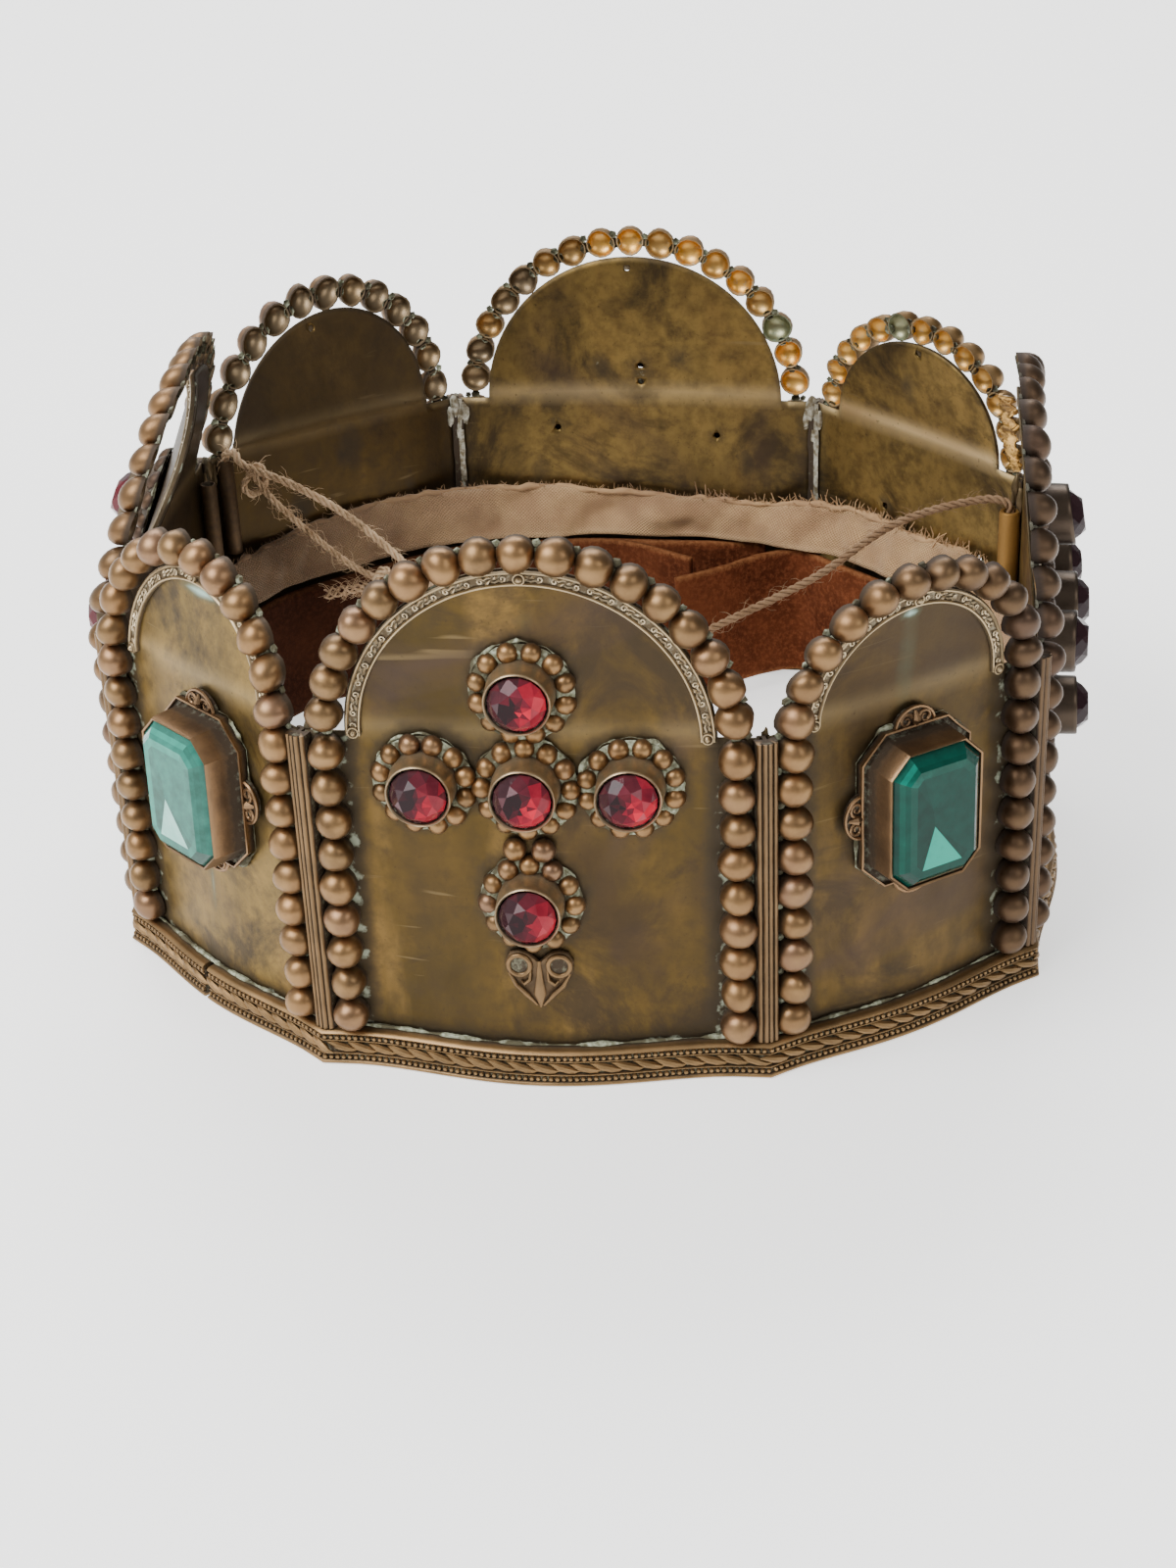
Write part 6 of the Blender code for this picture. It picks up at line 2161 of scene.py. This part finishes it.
bm = bmesh.new()
stray_fibres(bm, twine_line, TWINE_RADIUS, 560, chance)
tied = even_line(smooth_line(placed(TIED_ROUTE), 120), 150)
laid_strands(bm, tied, THIN_TWINE, STRAND_TURN, fray=1.4)
stray_fibres(bm, tied, TWINE_RADIUS, 320, chance)
loop = even_line(smooth_line(placed(LOOP_ROUTE), 80), 90)
laid_strands(bm, loop, THIN_TWINE, STRAND_TURN)
stray_fibres(bm, loop, TWINE_RADIUS, 30, chance)
knot = []
for step in range(101):
    angle = 4 * math.pi * step / 100
    way = Vector((math.cos(angle), math.sin(0.5 * angle), math.sin(angle)))
    knot.append(KNOT_CENTRE + KNOT_RADIUS * way)
laid_strands(bm, placed(knot), THIN_TWINE, STRAND_TURN)
stray_fibres(bm, tied[-45:], 1.5 * TWINE_RADIUS, 150, chance)
twine_ends = seat(to_object("twine_ends", bm, jute.material, smooth_angle=70), "jute")
print("twine in mm:", round(1000 * twine_length))

# %% [markdown]
# The cotton was torn and not hemmed, so loose threads stand off its upper edge. They repeat
# by the hundred: one bent thread, placed along the edge with a random turn and size.

# %% Frayed edge
def thread_pattern(bm):
    wire(bm, [(0, 0, -0.0006), (0.0002, -0.0003, 0.0006), (0.0007, -0.0002, 0.0014)],
         [0.00009, 0.00008, 0.00005], sides=3)


thread = pattern_object("thread_pattern", thread_pattern)
chance = random.Random(29)
edge = even_line(cotton_lines[1] + cotton_lines[1][:1], 1500)
places = [(point, (chance.uniform(-0.8, 0.8), chance.uniform(-0.9, 0.9), chance.uniform(0, 6.28)),
           chance.uniform(0.5, 1.5) * (1.7 if point.x > 0.02 else 1.0)) for point in edge]
fray = seat(repeat("cotton_fray", places, thread, cotton.material, 0.3, 0.2, 31), "cotton")
bm = bmesh.new()
hem = even_line(cotton_lines[1] + cotton_lines[1][:1], 700)
for point in hem:
    point.z += 0.0005 * noise.noise(point * 320) - 0.0002
sizes = [0.00085 * (1.0 + 0.8 * noise.noise(point * 240)) for point in hem]
wire(bm, hem, sizes, sides=6)
hem_roll = seat(to_object("cotton_hem", bm, cotton.material, smooth_angle=80), "cotton")
print("threads:", len(places))

# %% [markdown]
# Along the joints the solder has drawn out a pale, crumbly crust. It lies at the top of the
# foot strip, over the outer edges of the crosses and in dabs at the corner tops.

# %% Crust
def crust_wire(bm, line, thickest, seed, coverage=0.05):
    """A crumbly line of varying thickness. It thins to nothing where noise says so."""
    drift = Vector((seed * 5.1, seed * 2.7, 0))
    sizes = []
    for point in line:
        amount = noise.noise(point * 170 + drift) + coverage + 0.35 * noise.noise(point * 700)
        sizes.append(thickest * max(0.04, amount))
    wire(bm, line, sizes, sides=5, relief=0.5, dirt=0.5)


bm = bmesh.new()
for seed, panel in enumerate(PANELS):
    line = []
    steps = 150
    for step in range(steps + 1):
        across = (panel.width - 2 * STRIP_MARGIN) * (step / steps - 0.5)
        line.append(panel.place(across, 0.0095, 0.0008))
    crust_wire(bm, line, 0.00075, seed, 0.60)
for panel in WIDE:
    for number, (across, height) in enumerate(CROSS_PLACES.values()):
        line = []
        for step in range(91):
            angle = 2 * math.pi * step / 90
            reach = PLATE_RADIUS + 0.0004 + 0.0002 * math.cos(12 * angle)
            side, _, level = turned(across, height, reach, angle)
            line.append(panel.place(side, level, 0.0008))
        crust_wire(bm, line, 0.0012, 20 + number + 7 * len(panel.name), 0.10)
for panel in NARROW:
    across, height, _ = FEATURES[panel.name][0]
    outline = cut_corners(0.0033, 14)
    line = []
    for side, level in outline + outline[:1]:
        point = panel.place(across + side, height + level, 0)
        level_plan = panel.middle + panel.along * (across + side)
        level_plan += panel.outward * (panel.crest(height + level) + 0.0004)
        line.append(Vector((level_plan.x, level_plan.y, point.z)))
    crust_wire(bm, line, 0.0011, 60 + len(panel.name), 0.12)
crusts = seat(to_object("crusts", bm, crust.material, smooth_angle=60), "bead_brass")
print("crust points:", len(crusts.data.vertices))

# %% [markdown]
# Lumps of solder sit on top of each post and run a little way down inside the corner.

# %% Solder dabs
def blob(bm, centre, size, seed):
    """A lump of solder: a ball pushed about by noise."""
    made = bmesh.ops.create_icosphere(bm, subdivisions=2, radius=1.0)
    for vertex in made["verts"]:
        push = 1 + 0.45 * noise.noise(vertex.co * 1.7 + Vector((seed, 0, 0)))
        vertex.co = Vector(centre) + Vector((vertex.co.x * size[0], vertex.co.y * size[1],
                                             vertex.co.z * size[2])) * push


bm = bmesh.new()
chance = random.Random(43)
for corner in CORNER_LIST:
    for along, inset, level, spread in ((0.0008, -0.0018, 0.0000, 1.0), (-0.0022, -0.0012, -0.0030, 0.9),
                                        (0.0024, -0.0012, -0.0036, 0.8), (0.0002, -0.0016, -0.0085, 0.7)):
        plan = corner.leg(inset, along)
        size = [0.0013 * spread * chance.uniform(0.7, 1.3), 0.0006 * spread, 0.0036 * spread]
        blob(bm, (plan.x, plan.y, SHOULDER - 0.0018 + level), size, chance.uniform(0, 90))
solders = seat(to_object("solder_dabs", bm, solder.material, smooth_angle=80), "strip_brass")
print("solder points:", len(solders.data.vertices))

# %% [markdown]
# High on the back of the right panel a scrap of gilt foil has come loose and crumpled. It is
# a short ribbon that follows the arch, with a jagged edge and deep creases made by noise.

# %% Torn foil
foil = Finish("gilt_foil", metallic=0.9, roughness=0.33)
creases = foil.noise(420, detail=4)
foil.paint(colour=foil.blend(creases.ramp(0.35, 0.65), (0.10, 0.052, 0.014), (0.80, 0.48, 0.14)))
foil.bump(creases, 0.0006, 0.8)
FOIL_STEPS = 44
right_panel = BY_NAME["right"]
bm = bmesh.new()
grid = []
for step in range(FOIL_STEPS + 1):
    share = step / FOIL_STEPS
    angle = math.radians(10 + 44 * share)
    width = 0.0026 * math.sin(math.pi * min(1.0, 0.12 + 0.88 * share)) ** 0.5 + 0.0004
    line = []
    for row in range(7):
        radius = right_panel.sheet_arch - 0.0012 + width * row / 6
        spot = Vector((share * 9, row * 0.7, 4.0))
        crumple = 0.0020 * noise.noise(spot) + 0.0008 * noise.noise(spot * 3.1) - 0.0006 * row
        radius += 0.0009 * noise.noise(Vector((share * 22, 1.0, 0))) * row / 6
        across, _, height = turned(0.0, ARCH_CENTRE, radius, angle)
        line.append(bm.verts.new(right_panel.place(across, height, -0.0016 + crumple)))
    grid.append(line)
for first, second in zip(grid, grid[1:]):
    for row in range(6):
        bm.faces.new((first[row], first[row + 1], second[row + 1], second[row]))
scrap = to_object("foil_scrap", bm, foil.material, smooth_angle=25)
wall = scrap.modifiers.new("thickness", "SOLIDIFY")
wall.thickness = 0.0001
seat(freeze(scrap), "tarnished_brass")
print("foil points:", len(scrap.data.vertices))

# %% Soft pieces
print("declared:", twine_piece.name, cotton_piece.name, felt_piece.name)

# %% Size and finish
low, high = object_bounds()
size = {"cad": [list(cad_low), list(cad_high)], "dressed": [list(low), list(high)]}
print("dressed size in mm:", [round(1000 * side, 1) for side in high - low])
